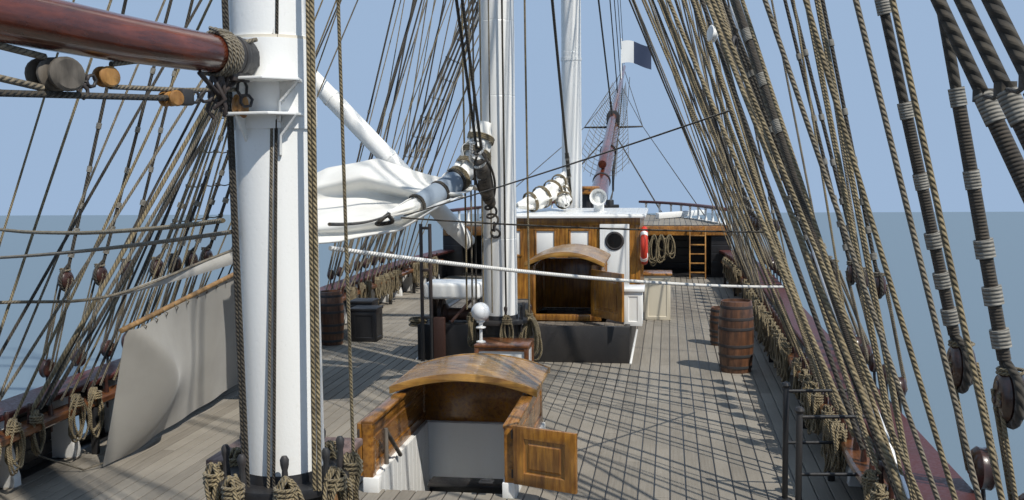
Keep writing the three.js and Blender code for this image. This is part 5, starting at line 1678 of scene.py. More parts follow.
def net_width(t):
    """Half width of the net there."""
    return 0.75 * (1 - 0.8 * t) + 0.1


def head_gear():
    """Bowsprit and jib boom with cap, stays, whisker booms and net."""
    a, b = spritline(13.6), spritline(25.2)
    way = (b - a).normalized()
    body = turned([(0, 0), (0.25, 0), (0.272, 0.03), (0.272, 1.2), (0.262, 4),
        (0.222, (b - a).length - 0.02), (0, (b - a).length)], a, way, 32)
    piece(body, "bowsprit_body", REDWOOD, replaces=("bowsprit",))
    cap_h = b.z
    cap = plate([(-0.24, cap_h - 0.26), (-0.12, cap_h - 0.3), (0.12, cap_h - 0.3), (0.24, cap_h - 0.26),
        (0.24, cap_h + 0.5), (0.14, cap_h + 0.66), (-0.14, cap_h + 0.66), (-0.24, cap_h + 0.5)], 0.22, "x",
        b.x - 0.11, 0.02)
    irons = [cap]
    for x in (15.0, 18.6, 22.0):
        irons.append(turned([(0, -0.05), (0.275, -0.05), (0.285, -0.03), (0.285, 0.03), (0.275, 0.05),
            (0, 0.05)], spritline(x), way, 32))
    strike = spritline(25.3, -0.3)
    irons.append(bar(strike, strike + Vector((-0.25, 0, -2.1)), 0.07, 0.04, 16, 0.01))
    piece(irons, "bowsprit_irons", BLACK)
    c, d = spritline(18.9, JIB_UP), spritline(35, JIB_UP)
    size = (d - c).length
    boom = turned([(0, 0), (0.13, 0), (0.142, 0.03), (0.142, 2), (0.13, 7), (0.07, size - 0.03),
        (0.05, size - 0.01), (0, size)], c, way, 28)
    piece(boom, "jib_boom_body", REDWOOD, replaces=("jib_boom",))
    low = strike + Vector((-0.25, 0, -2.05))
    runs = [([(19.6, 0, 0.7), spritline(24.9, -0.3)], 0.03),
        ([(18.9, 0, -0.2), spritline(22.0, -0.28)], 0.03)]
    runs += [([low, spritline(x, JIB_UP - 0.1)], 0.018) for x in (28.6, 31.2, 34.4)]
    for s in (-1, 1):
        runs.append(([(16.4, s * (half(16.4) + 0.02), 1.0), spritline(24.9)], 0.025))
        runs.append(([(18.4, s * 0.12, 0.4), low], 0.02))
        for x in (31.0, 34.5):
            runs.append(([(14.2, s * (half(14.2) + 0.02), 1.35), spritline(25.4) + Vector((0, s * 1.1, 0)),
                spritline(x, JIB_UP)], 0.014))
        foot = [spritline(25.6 + 8.6 * t, 0.1 - 0.75 * sin(pi * t) ** 0.8) + Vector((0, s * 0.28, 0))
            for t in spread(0, 1, 14)]
        runs.append((foot, 0.013))
    rope(runs, "head_stays", 0.02, TARRED, slot="tarred_rope")
    whisker = [bar(spritline(25.35), spritline(25.4) + Vector((0, s * 1.1, 0)), 0.045, 0.03, 12, 0.005)
        for s in (-1, 1)]
    piece(whisker, "whisker_booms", BLACK)
    net = []
    for t in spread(0.06, 0.95, 26):
        wide = net_width(t)
        net.append([net_middle(t) + Vector((0, y, 0.28 - 0.5 * (1 - (y / wide) ** 2)))
            for y in spread(-wide, wide, 10)])
    for u in spread(-1, 1, 8):
        net.append([net_middle(t) + Vector((0, u * net_width(t), 0.28 - 0.5 * (1 - u * u)))
            for t in spread(0.04, 0.97, 16)])
    rope(net, "bowsprit_net", 0.008, HEMP, sides=4)


head_gear()


# Hull details: wales, transom, windows, catheads and anchors

def hull_details():
    """Mouldings, stern windows, catheads, hawse rims and the two anchors."""
    wales = []
    for s in (-1, 1):
        for h, out in ((-0.22, 0.05), (-1.0, 0.04)):
            wales.append(swept(side_path(-17.6, 17.6, s, 50), eased(-0.03, out, h, h + 0.07, 0.012), s))
        wales.append(swept(side_path(-18.1, POOP_X, s, 20),
            eased(-0.02, 0.06, POOP_H - 0.08, POOP_H, 0.012), s, sheer))
        wales.append(swept(side_path(FORE_X, 17.9, s, 20), eased(-0.02, 0.06, FORE_H - 0.07, FORE_H, 0.012),
            s))
    piece(wales, "wales", WHITE, round_under=30)
    frames, panes = [], []
    for y in (-1.5, -0.5, 0.5, 1.5):
        x = STERN - 0.01
        frames += [block(x - 0.03, x + 0.02, y - 0.25, y + 0.25, a, b, 0.008)
            for a, b in ((0.32, 0.38), (0.82, 0.88))]
        frames += [block(x - 0.03, x + 0.02, a, b, 0.32, 0.88, 0.008)
            for a, b in ((y - 0.25, y - 0.2), (y + 0.2, y + 0.25), (y - 0.02, y + 0.02))]
        panes.append(block(x - 0.012, x + 0.02, y - 0.2, y + 0.2, 0.38, 0.82, 0.003))
    frames += [block(STERN - 0.035, STERN + 0.02, -2.2, 2.2, h, h + 0.06, 0.015) for h in (0.2, 1.02)]
    piece(frames, "transom_frames", WHITE, round_under=30)
    piece(panes, "transom_panes", DARK_GLASS)
    irons, timbers = [], []
    for s in (-1, 1):
        y = s * half(15.2)
        timbers.append(bar((14.5, s * (half(15.2) - 0.9), FORE_H + 0.1),
            (15.6, y + s * 0.35, FORE_H + 0.14), 0.11, 0.1, 4, 0.015))
        irons.append(turned([(0.08, -0.03), (0.13, -0.03), (0.145, 0), (0.13, 0.03), (0.08, 0.03),
            (0.07, 0), (0.08, -0.03)], (16.6, s * (half(16.6) + 0.02), 0.5), (0.45, s, 0), 24))
        # anchor hung from its cathead
        ax, ay = 15.55, y + s * 0.3
        irons.append(bar((ax, ay, 1.1), (ax - 0.05, ay, -0.45), 0.05, 0.06, 12, 0.01))
        irons.append(bar((ax - 0.55, ay, 0.85), (ax + 0.55, ay, 0.85), 0.035, 0.035, 10, 0.008))
        arc = [(ax - 0.05 + 0.62 * sin(a), ay, -0.45 + 0.5 - 0.5 * cos(a)) for a in spread(-1.1, 1.1, 12)]
        irons.append(tube([arc], 0.05, 8))
        for e in (arc[0], arc[-1]):
            d = 1 if e[0] > ax else -1
            irons.append(plate([(e[0] - d * 0.14, e[2] - 0.04), (e[0] + d * 0.02, e[2] + 0.1),
                (e[0] + d * 0.07, e[2] - 0.1)], 0.22, "y", ay - 0.11, 0.01))
        irons.append(tube([ring_of((ax, ay, 1.17), 0.09, (0, 1, 0), 0.018)], 0.018, 6))
    piece(timbers, "catheads", WHITE, round_under=40)
    piece(irons, "anchors_and_hawse", IRON, round_under=40)


hull_details()


# Capstan

def capstan():
    """Ribbed barrel, and a head with dark blocks set round it as painted shade for the square holes of its
    bars.
    """
    base = [(r, FORE_H + h) for r, h in ((0, 0.003), (0.4, 0.003), (0.4, 0.06), (0.36, 0.1), (0.24, 0.12),
        (0.2, 0.3), (0.19, 0.6), (0.2, 0.74), (0, 0.74))]
    parts = [turned(base, (13.0, 0, 0), sides=40)]
    for i in range(8):
        rib = plate([(0.17, 0.12), (0.27, 0.12), (0.235, 0.3), (0.21, 0.5), (0.22, 0.72), (0.17, 0.72)],
            0.05, "y", -0.025, 0.008)
        parts.append(moved(rib, at(13.0, 0, FORE_H, 45 * i)))
    piece(parts, "capstan_barrel", BLACK, "capstan", replaces=("capstan",))
    head = turned([(0, 0.75), (0.33, 0.75), (0.34, 0.77), (0.34, 0.8), (0.325, 0.81), (0.325, 0.88),
        (0.34, 0.89), (0.34, 0.92), (0.31, 0.95), (0, 0.955)], (13.0, 0, FORE_H), sides=48)
    # the bar holes are not cut: dark blocks on the head stand for their painted shade
    holes = copies(block(0.3, 0.3275, -0.028, 0.028, 0.817, 0.873, 0.003),
        [at(13.0, 0, FORE_H, 30 * i + 15) for i in range(12)])
    piece(head, "capstan_head", VARNISH_LONG, "capstan", round_under=30)
    piece(holes, "capstan_bar_hole_shade", SHADE_BROWN, "capstan", "hull_black")


capstan()


# Poop rail, wheel, wheel box and the skylight

BREAK_RAIL_X, AFT_RAIL_X = POOP_X - 0.25, STERN + 0.12
POOP_RAIL = (2.08, 2.15)


def post_shape(height):
    return turned([(0, 0), (0.045, 0), (0.045, 0.1), (0.026, 0.13), (0.034, 0.25), (0.04, 0.36),
        (0.028, 0.5), (0.024, height - 0.14), (0.045, height - 0.1), (0.045, height), (0, height)],
        sides=16)


def poop_rail():
    """Rail with turned posts round the poop, and the two ladders down to the main deck."""
    caps = []
    for s in (-1, 1):
        path = [(x, s * (half(x) - 0.1)) for x in spread(AFT_RAIL_X, POOP_X - 0.15, 24)]
        caps.append(swept(path, eased(-0.1, 0.1, *POOP_RAIL, 0.015), s, sheer))
    lift = sheer(AFT_RAIL_X)
    caps.append(block(AFT_RAIL_X - 0.1, AFT_RAIL_X + 0.1, -2.4, 2.4, POOP_RAIL[0] + lift,
        POOP_RAIL[1] + lift, 0.015))
    caps += [block(BREAK_RAIL_X - 0.1, BREAK_RAIL_X + 0.1, a, b, *POOP_RAIL, 0.015)
        for a, b in ((-2.6, 2.6), (3.0, 3.5), (-3.5, -3.0))]
    caps.append(block(BREAK_RAIL_X - 0.06, BREAK_RAIL_X + 0.06, -3.5, 3.5, POOP_H + 0.014, POOP_H + 0.06,
        0.01))
    piece(caps, "poop_rail_caps", MAROON, replaces=("poop_rail",), round_under=30)
    places = []
    for s in (-1, 1):
        for x in spread(AFT_RAIL_X + 0.3, BREAK_RAIL_X, 14):
            places.append(at(x, s * (half(x) - 0.12), POOP_H + sheer(x) + 0.005))
    for y in spread(-2.05, 2.05, 9):
        places.append(at(AFT_RAIL_X, y, POOP_H + sheer(AFT_RAIL_X) + 0.005))
    places += [at(BREAK_RAIL_X, y, POOP_H + 0.055)
        for y in (-2.5, -1.9, -1.3, -0.65, 0, 0.65, 1.3, 1.9, 2.5)]
    piece(copies(post_shape(POOP_RAIL[0] - POOP_H), places), "poop_rail_posts", WHITE)
    steps = []
    for s in (-1, 1):
        for y in (2.62, 2.98):
            string = plate([(0, 0), (0.1, 0), (-0.25, 1.2), (-0.35, 1.2)], 0.035, "y", -0.017, 0.006)
            steps.append(moved(string, Matrix.Translation((POOP_X + 0.42, s * y, 0.003))))
        y0, y1 = sorted((s * 2.62, s * 2.98))
        for k in range(5):
            h = 0.2 + 0.2 * k
            steps.append(block(POOP_X + 0.36 - 0.29 * h, POOP_X + 0.54 - 0.29 * h, y0, y1, h, h + 0.03,
                0.006))
    piece(steps, "poop_ladders", VARNISH_LONG, round_under=30)


poop_rail()


def steering():
    """Wheel, its box and shaft, the binnacle and the skylight."""
    x, h = -15.0, 2.15
    rim = [turned([(0.46, -0.03), (0.55, -0.03), (0.555, 0), (0.55, 0.03), (0.46, 0.03), (0.455, 0),
        (0.46, -0.03)], (x, 0, h), (1, 0, 0), 56)]
    rim.append(turned([(0, -0.07), (0.09, -0.07), (0.1, -0.03), (0.1, 0.03), (0.09, 0.07), (0, 0.07)],
        (x, 0, h), (1, 0, 0), 32))
    for i in range(8):
        spoke = turned([(0, 0.08), (0.02, 0.08), (0.026, 0.2), (0.018, 0.28), (0.026, 0.42), (0.022, 0.5),
            (0.018, 0.57), (0.024, 0.64), (0.015, 0.7), (0, 0.72)], sides=12)
        rim.append(moved(spoke, Matrix.Translation((x, 0, h)) @ Matrix.Rotation(radians(45 * i), 4, "X")))
    piece(rim, "wheel_rim_and_spokes", REDWOOD, "steering_wheel", replaces=("steering_wheel",))
    brass = [turned([(0.48, 0.031), (0.53, 0.031), (0.53, 0.036), (0.48, 0.036), (0.48, 0.031)], (x, 0, h),
        (s, 0, 0), 56) for s in (-1, 1)]
    brass.append(turned([(0, 0.07), (0.05, 0.072), (0.03, 0.085), (0, 0.088)], (x, 0, h), (1, 0, 0), 24))
    piece(brass, "wheel_brass", BRASS, "steering_wheel")
    piece(bar((-15.29, 0, h), (x - 0.06, 0, h), 0.05, sides=24), "wheel_shaft", IRON, "steering_wheel")
    z0 = POOP_H + sheer(-16.6) + 0.004
    box = block(-16.57, -15.33, -0.39, 0.39, z0, 2.1, 0)
    fielded(box, [(0.09, 0), (0.008, -0.014), (0.028, 0), (0.014, 0.009)],
        ((0, 1, 0), (0, -1, 0), (-1, 0, 0), (1, 0, 0)))
    lid = plate([(y, 2.1 + 0.14 * (1 - (y / 0.42) ** 2)) for y in spread(-0.42, 0.42, 16)]
        + [(0.42, 2.06), (-0.42, 2.06)], 1.3, "x", -16.6, 0.008)
    piece([box, lid], "wheel_box_panels", VARNISH_LONG, replaces=("wheel_box",), round_under=25)
    stand = turned([(0, 0), (0.2, 0), (0.2, 0.05), (0.14, 0.08), (0.12, 0.4), (0.13, 0.7), (0.17, 0.75),
        (0.17, 0.85), (0, 0.85)], (-14.2, 0, POOP_H + sheer(-14.2) + 0.004), sides=8)
    piece(stand, "binnacle_stand", VARNISH_UP, round_under=25)
    dome = turned([(0.17, 0), (0.175, 0.02), (0.15, 0.12), (0.09, 0.19), (0.03, 0.21), (0.03, 0.24),
        (0, 0.25)], (-14.2, 0, POOP_H + sheer(-14.2) + 0.855), sides=32)
    piece(dome, "binnacle_dome", BRASS)
    light = [block(-13.2, -11.9, -0.6, 0.6, POOP_H + 0.03, POOP_H + 0.42, 0.012)]
    for s in (-1, 1):
        light.append(plate([(s * 0.64, POOP_H + 0.4), (s * 0.64, POOP_H + 0.44), (0, POOP_H + 0.72),
            (0, POOP_H + 0.68)], 1.36, "x", -13.23, 0.004))
    light += [plate([(-0.6, POOP_H + 0.4), (0.6, POOP_H + 0.4), (0, POOP_H + 0.68)], 0.03, "x", x, 0.003)
        for x in (-13.2, -11.93)]
    piece(light, "skylight_frame", VARNISH_LONG, round_under=25)
    bars = []
    for s in (-1, 1):
        for x in spread(-13.1, -12.0, 9):
            bars.append(bar((x, s * 0.1, POOP_H + 0.71), (x, s * 0.58, POOP_H + 0.5), 0.01, sides=8))
    piece(bars, "skylight_bars", BRASS)


steering()


# Forecastle rails, ladder, beam and the gear hung under it

def forecastle():
    """Rails, beam, ladder, coils under the beam, and the bitts."""
    for name, s in SIDES:
        path = [(x, s * (half(x) - 0.1)) for x in spread(FORE_X + 0.1, 17.4, 24)]
        piece(swept(path, eased(-0.1, 0.1, 1.62, 1.69, 0.015), s), f"forecastle_rail_{name}_cap", MAROON,
            replaces=(f"forecastle_rail_{name}",), round_under=30)
        places = [at(x, s * (half(x) - 0.12), FORE_H + 0.004) for x in spread(FORE_X + 0.2, 17.2, 9)]
        posts = copies(turned([(0, 0), (0.045, 0), (0.045, 0.06), (0.03, 0.09), (0.028, 0.27), (0.04, 0.32),
            (0.04, 0.36), (0, 0.36)], sides=14), places)
        piece(posts, f"forecastle_rail_{name}_posts", WHITE)
    beam = block(FORE_X - 0.08, FORE_X - 0.005, -3.55, 3.55, 1.04, 1.27, 0.012)
    piece(beam, "forecastle_beam", VARNISH_LONG, round_under=30)
    ladder = [moved(plate([(0, 0), (0.05, 0), (0.28, 1.27), (0.23, 1.27)], 0.03, "y", y - 0.015, 0.005),
        Matrix.Translation((FORE_X - 0.42, 0, 0.004))) for y in (-2.95, -2.58)]
    ladder += [block(FORE_X - 0.41 + 0.18 * h, FORE_X - 0.35 + 0.18 * h, -2.95, -2.58, h, h + 0.03, 0.005)
        for h in (0.15, 0.37, 0.59, 0.81, 1.03)]
    piece(ladder, "forecastle_ladder", BLOCKWOOD, round_under=30)
    runs = []
    for k, y in enumerate((-2.1, -1.9, -1.72, -1.5, -1.32, -1.15, 1.2, 1.5, 1.8, 2.2)):
        runs += coil(FORE_X - 0.1, y, 1.06, 180, 0.55 + 0.08 * (k % 3), 0.2, 7, 70 + k, 0.015)
    runs.append(ring_of((FORE_X - 0.12, -1.95, 0.82), 0.14, (1, 0, 0), 0.03, 3, 0.008))
    rope(runs, "forecastle_coils", 0.015, MANILA, sides=5)
    bitts = [bar((14.3, s * 0.5, FORE_H + 0.003), (14.3, s * 0.5, FORE_H + 0.55), 0.12, 0.11, 20, 0.02)
        for s in (-1, 1)]
    bitts.append(block(14.2, 14.4, -0.75, 0.75, FORE_H + 0.3, FORE_H + 0.42, 0.02))
    piece(bitts, "forecastle_bitts", BLACK)


forecastle()


# Cloths: the awning on its derrick, the weather cloth, the stowed sails and the jack

CLOTH, GASKET = 0.008, 0.012
# awning: places across the ship and the height of its after edge, ridge and fore edge there
AWNING_Y = (0.2, 0.75, 1.4, 2.0, 2.5)
AWNING_H = ((2.45, 2.12, 2.0, 1.98, 1.95), (2.56, 2.68, 2.9, 2.78, 2.55), (2.5, 2.62, 2.8, 2.7, 2.4))
AWNING_X = (-2.55, -1.15, -0.87)
# rolled sails on the deckhouse roof: way, radii along it, seed
ROOF_SAILS = {
    "port": (((6.2, 0.8, 2.02), (6.5, 0.5, 2.1), (7.0, 0.2, 2.3), (7.6, 0.05, 2.6)),
             (0.05, 0.17, 0.2, 0.16, 0.06), 11),
    "starboard": (((6.6, -0.1, 2.0), (7.0, 0.0, 2.12), (7.5, 0.1, 2.3), (8.1, 0.1, 2.6)),
                  (0.05, 0.15, 0.17, 0.13, 0.05), 17),
}


def curve(points, n=24):
    """Smooth run of n + 1 places through a few given ones."""
    pts = [Vector(p) for p in points]
    pts = [pts[0] * 2 - pts[1]] + pts + [pts[-1] * 2 - pts[-2]]
    out = []
    for t in spread(0, len(pts) - 3, n):
        i = min(int(t), len(pts) - 4)
        f = t - i
        a, b, c, d = pts[i:i + 4]
        out.append((b * 2 + (c - a) * f + (a * 2 - b * 5 + c * 4 - d) * f * f
            + (b * 3 - a - c * 3 + d) * f ** 3) * 0.5)
    return out


def rolled(path, radii, waves, seed):
    """Sheet rolled up along path: a spiral whose folds run lengthwise and twist slowly."""
    rnd = random.Random(seed)
    phase = [rnd.uniform(0, 6.28) for _ in range(3)]
    rows = []
    for i, p in enumerate(path):
        r = np.interp(i / (len(path) - 1), spread(0, 1, len(radii) - 1), radii)
        ahead = (path[min(i + 1, len(path) - 1)] - path[max(i - 1, 0)]).normalized()
        side_way = ahead.cross(UP).normalized()
        up = side_way.cross(ahead)
        row = []
        for a in spread(0, TURN * 2.2, 72):
            out = a / (TURN * 2.2)
            fold = waves * (sin(5 * a + 0.35 * i + phase[0]) + 0.6 * sin(8 * a - 0.5 * i + phase[1])
                + 0.5 * sin(3 * a + 0.9 * i + phase[2]))
            row.append(p + (side_way * cos(a) + up * sin(a)) * r * (0.4 + 0.6 * out) * (1 + fold * out))
        rows.append(row)
    return skin(rows, CLOTH)


def gaskets(path, radii, places, seed=3):
    """Turns of small rope round a rolled sail at these shares of its length."""
    rnd = random.Random(seed)
    runs = []
    for t in places:
        i = round(t * (len(path) - 1))
        r = np.interp(t, spread(0, 1, len(radii) - 1), radii) + GASKET * 0.6
        way = (path[min(i + 1, len(path) - 1)] - path[max(i - 1, 0)]).normalized()
        way = (way + Vector([rnd.uniform(-0.12, 0.12) for _ in range(3)])).normalized()
        runs.append(ring_of(path[i], r * 1.1, way, GASKET, 3, GASKET * 0.32))
    return runs


def derrick_and_awning():
    """White derrick, and the awning that hangs over it in deep folds."""
    a, b = Vector((-0.5, 0.36, 1.79)), Vector((-0.62, 2.55, 4.12))
    size = (b - a).length
    profile = [(0, 0.01), (0.075, 0.01), (0.09, 0.04), (0.112, 0.28)]
    for t in (0.3, 1.5, 2.55):
        profile += [(0.112, t), (0.12, t + 0.004), (0.12, t + 0.05), (0.112, t + 0.054)]
    profile += [(0.108, size - 0.05), (0.09, size - 0.01), (0, size - 0.01)]
    piece(turned(profile, a, b - a, 36), "derrick_tube", WHITE, replaces=("derrick",), round_under=28)
    rows = []
    for y in spread(*AWNING_Y[::4], 56):
        u = (y - 0.2) / 2.3
        after, ridge, fore = (float(np.interp(y, AWNING_Y, h)) for h in AWNING_H)
        row = [Vector((AWNING_X[2] + (AWNING_X[1] - AWNING_X[2]) * t, y,
            fore + (ridge - fore) * sin(t * pi / 2))) for t in spread(0, 1, 5)[:-1]]
        for t in spread(0, 1, 60):
            swing = sin(TURN * (2.05 * (t + 0.22 * u) + 0.18 * sin(3 * u + 2 * t)))
            held = min(1, 5 * t) * min(1, 6 * (1 - t)) * (0.55 + 0.45 * sin(pi * min(1, u + 0.15)))
            x = AWNING_X[1] + (AWNING_X[0] - AWNING_X[1]) * t ** 0.92 + 0.26 * swing * held
            row.append(Vector((x, y, ridge + (after - ridge) * t - 0.05 * sin(pi * t)
                + 0.012 * sin(23 * t + 9 * u))))
        rows.append(row)
    sheet = piece(skin(rows, CLOTH), "awning_cloth", CANVAS, replaces=("awning",), round_under=60)
    hem = rope([([row[-1] for row in rows], 0.012), ([row[0] for row in rows], 0.012)], "awning_hem", 0.012,
        CANVAS, sides=8)


def weather_cloth():
    """Screen laced to a batten, and the flap folded over the line above it; both are sailcloth darkened as
    painted shade.
    """
    rows = []
    for v in spread(0, 1, 44):
        # the crest of the belly starts at the upper after corner and swings forward and back
        crest = 0.02 + 0.15 * sin(pi * min(1, (1 - v) * 0.78)) ** 1.2
        depth = 0.3 * sin(pi * min(1, 0.08 + (1 - v) * 0.86)) ** 0.9
        row = []
        for u in spread(0, 1, 84):
            x = -4.35 + 4.05 * u
            low, top = 0.03 + 0.17 * u, 1.32 + 0.43 * u
            if u < crest:
                belly = sin(u / crest * pi / 2)
            else:
                belly = max(0.0, 1 - (u - crest) / 0.3) ** 1.7
            y = 3.15 - 0.3 * v - depth * belly
            y += 0.012 * sin(31 * u + 2.2 * v) * (1 - 0.6 * v) + 0.008 * sin(11 * u - 4 * v)
            row.append(Vector((x, y, low + (top - low) * v)))
        rows.append(row)
    # the sheet's dark grey canvas is painted shade
    sheet = piece(skin(rows, CLOTH), "weather_cloth_sheet", SHADED_SCREEN, replaces=("weather_cloth",),
        round_under=60)
    batten = bar(rows[-1][0] + Vector((-0.08, -0.005, 0.012)), rows[-1][-1] + Vector((0.0, -0.005, 0.012)),
        0.026, sides=12, bevel=0.004)
    piece(batten, "weather_cloth_batten", POLE, slot="varnished_wood")
    flap = []
    for v in spread(0, 1, 6):
        flap.append([Vector((-4.3 + 4.0 * u, 3.01 - 0.03 * sin(pi * v) * u + 0.01 * sin(9 * u),
            1.63 + 0.31 * u - v * (0.012 + 0.17 * min(1, 1.3 * u) ** 0.8))) for u in spread(0, 1, 40)])
    # the flap's grey canvas is painted shade
    fold = piece(skin(flap, CLOTH), "weather_cloth_flap", SHADED_FLAP, round_under=60)
    line = curve([(-7.2, 3.9, 1.95), (-5.46, 3.3, 1.73), (-4.3, 3.0, 1.64), (-2.3, 3.0, 1.79),
        (-0.3, 3.01, 1.95)], 30)
    rope([(line, 0.014)], "weather_cloth_line", 0.014, HEMP, lobes=0.08, sides=9)
    lacing = [([rows[-1][i] + Vector((0, 0, 0.03)), rows[-1][i] + Vector((0.02, -0.035, 0)),
        rows[-1][i] + Vector((0.05, 0, -0.035))], 0.006) for i in range(3, 84, 5)]
    lacing.append(([rows[0][0] + Vector((0.01, 0, 0.03)), rows[0][0] + Vector((-0.12, 0.12, 0.0)),
        rows[0][0] + Vector((-0.3, 0.55, 0.2))], 0.009))
    rope(lacing, "weather_cloth_lacing", 0.006, HEMP, sides=5)


def stowed_staysail():
    """Staysail rolled up on the mizzen stay, with its cover and sheets."""
    path = curve([(-0.95, 0.1, 3.3), (-1.05, 0.16, 3.02), (-1.25, 0.25, 2.76), (-1.6, 0.39, 2.58),
        (-2.1, 0.6, 2.41), (-2.72, 0.8, 2.3)], 46)
    radii = (0.1, 0.15, 0.155, 0.13, 0.115, 0.1, 0.085, 0.03)
    sail = piece(rolled(path, radii, waves=0.17, seed=5), "staysail_roll", CANVAS,
        replaces=("mizzen_staysail",), round_under=60)
    lashing = rope(gaskets(path, radii, (0.1, 0.24, 0.38, 0.5)), "staysail_gaskets", 0.012, MANILA, sides=6)
    cover = path[24:39]
    along = (cover[-1] - cover[0]).normalized()
    across = along.cross(UP).normalized()
    up = across.cross(along)
    wrap = [[p + (across * cos(a) + up * sin(a)) * (0.132 - 0.0022 * i) * (1 + 0.03 * sin(3 * a + 0.5 * i))
        for a in spread(0, TURN, 32)] for i, p in enumerate(cover)]
    blue = piece(skin(wrap, CLOTH), "staysail_cover", BLUE_WRAP, round_under=60)
    bands = rope([ring_of(path[i], r, along, 0.012, 2, 0.004)
        for i, r in ((25, 0.137), (31, 0.123), (38, 0.107))], "staysail_cover_bands", 0.013, TARRED,
        sides=8)
    end = path[-1]
    tail = [(curve([path[-4], end, end + Vector((-0.12, 0.06, -0.06)), end + Vector((-0.02, 0.12, -0.1)),
        end + Vector((0.06, -0.02, -0.08)), end + Vector((-0.1, -0.02, 0.0))], 20), 0.022)]
    tail.append((sag(end, (-7.6, -0.26, 2.49), 0.03, 12), 0.01))
    tail.append((sag(end + Vector((0.15, -0.12, -0.02)), (-5.61, -2.5, 3.16), 0.02, 12), 0.007))
    tail.append((sag(end + Vector((0.1, -0.1, -0.04)), (-2.39, -3.05, 2.09), 0.03, 12), 0.009))
    rope(tail, "staysail_sheets", 0.015, TARRED, sides=8, slot="tarred_rope")


def roof_sails():
    """Two staysails rolled up on the deckhouse roof round the foot of the main stay."""
    for name, (places, radii, seed) in ROOF_SAILS.items():
        path = curve(places, 34)
        sail = piece(rolled(path, radii, waves=0.15, seed=seed), f"roof_sail_{name}", CANVAS,
            round_under=60)
        lashing = rope(gaskets(path, radii, (0.25, 0.45, 0.65, 0.82), seed=seed),
            f"roof_sail_{name}_gaskets", 0.011, MANILA, sides=6)


def jack():
    """Small two-coloured flag on a staff on the jib boom."""
    foot = spritline(31.8, JIB_UP)
    staff = turned([(0, 0), (0.03, 0), (0.02, 1.75), (0.035, 1.76), (0.035, 1.8), (0, 1.82)], foot,
        (0, 0, 1), 16)
    piece(staff, "jackstaff", WHITE)
    top = foot + Vector((0, 0, 1.7))
    rows = []
    for v in spread(0, 1, 20):
        rows.append([top + Vector((0.16 * sin(5.2 * u + 1.1 * v) * u, -0.03 - 1.28 * u,
            -0.95 * v - 0.3 * u * u + 0.05 * sin(6 * u))) for u in spread(0, 1, 30)])
    f = Finish("flag_bunting", (0.8, 0.79, 0.76), 0.8, sheen=0.2)
    _, across, _ = f.axes(f.object_coords())
    f.color(f.mix(f.math("LESS_THAN", across, -0.55), (0.78, 0.77, 0.74), (0.03, 0.045, 0.09)))
    flag = piece(skin(rows, 0.005), "jack_flag", f.mat, slot="canvas", round_under=60)


derrick_and_awning()
weather_cloth()
stowed_staysail()
roof_sails()
jack()


# Mizzen stay's lower end: the heart and its lashings abaft the main mast

def stay_heart():
    """Doubled stay, the heart between it and its shackle, and the lashings."""
    top, low = Vector((-1.86, 0.0, 2.98)), Vector((-1.08, 0.0, 2.2))
    way = (low - top).normalized()
    runs = [([(-7.02, y, 11.1), top + Vector((0, y * 0.6, 0))], 0.017) for y in (-0.045, 0.045)]
    rope(runs, "mizzen_stay_rope", 0.017, TARRED, replaces=("mizzen_stay",), sides=10, slot="tarred_rope")
    heart = loft([[top + way * (0.18 + 0.72 * t)
        + Vector((0.7 * cos(a) * 0.055 * w, sin(a) * 0.085 * w, cos(a) * 0.055 * w))
        for a in spread(0, TURN, 20)[:-1]] for t, w in ((0, 0.35), (0.06, 0.8), (0.18, 1.0), (0.5, 1.05),
        (0.8, 0.95), (0.94, 0.7), (1, 0.3))])
    piece(heart, "mizzen_stay_heart", GREYWOOD, round_under=50)
    rings = [ring_of(top + way * t, 0.062, way, 0.014, 4, 0.024) for t in (0.02, 0.28, 0.62)]
    for s in (-1, 1):
        rings.append((curve([top, top + way * 0.3 + Vector((0, s * 0.095, 0)),
            top + way * 0.62 + Vector((0, s * 0.1, 0)), top + way * 0.98], 16), 0.014))
    rope(rings, "mizzen_stay_lashings", 0.014, SERVICE, sides=7)
    white_turns = [ring_of(top - way * 0.12 + Vector((0, 0.02, 0.03)), 0.07, way, 0.016, 4, 0.03)]
    white_turns.append((curve([top + Vector((0.0, 0.08, 0.1)), top + Vector((0.05, 0.1, -0.05)),
        top + way * 0.2 + Vector((0, 0.12, 0.02)), top + way * 0.32 + Vector((0, 0.06, 0.05))], 12), 0.02))
    rope(white_turns, "mizzen_stay_white_lashing", 0.016, FLECKED, sides=8)
    iron = [ring_of(low + way * 0.2, 0.05, (0, 1, 0), 0.014),
        ring_of(low + way * 0.32, 0.055, (1, 0, 0.4), 0.015)]
    rope(iron, "mizzen_stay_shackle", 0.014, IRON, sides=10, slot="hull_black")


stay_heart()


# Deck gear: pump box, lamp, hatch gear, chests, casks, lifebuoy and cowl

def boxed(name, span, body, lid, lid_finish, body_finish, over=0.03):
    """Chest with a moulded lid: span is x, y and height pairs, lid its thickness."""
    (x0, x1), (y0, y1), (h0, h1) = span
    chest = block(x0 + over, x1 - over, y0 + over, y1 - over, h0, h1 - lid, 0.01)
    fielded(chest, [(0.055, 0), (0.008, -0.01)], ((-1, 0, 0), (0, -1, 0), (0, 1, 0)))
    piece(chest, f"{name}_{body}", body_finish, slot=None)
    piece(block(x0, x1, y0, y1, h1 - lid, h1, 0.012), f"{name}_lid", lid_finish, slot=None)


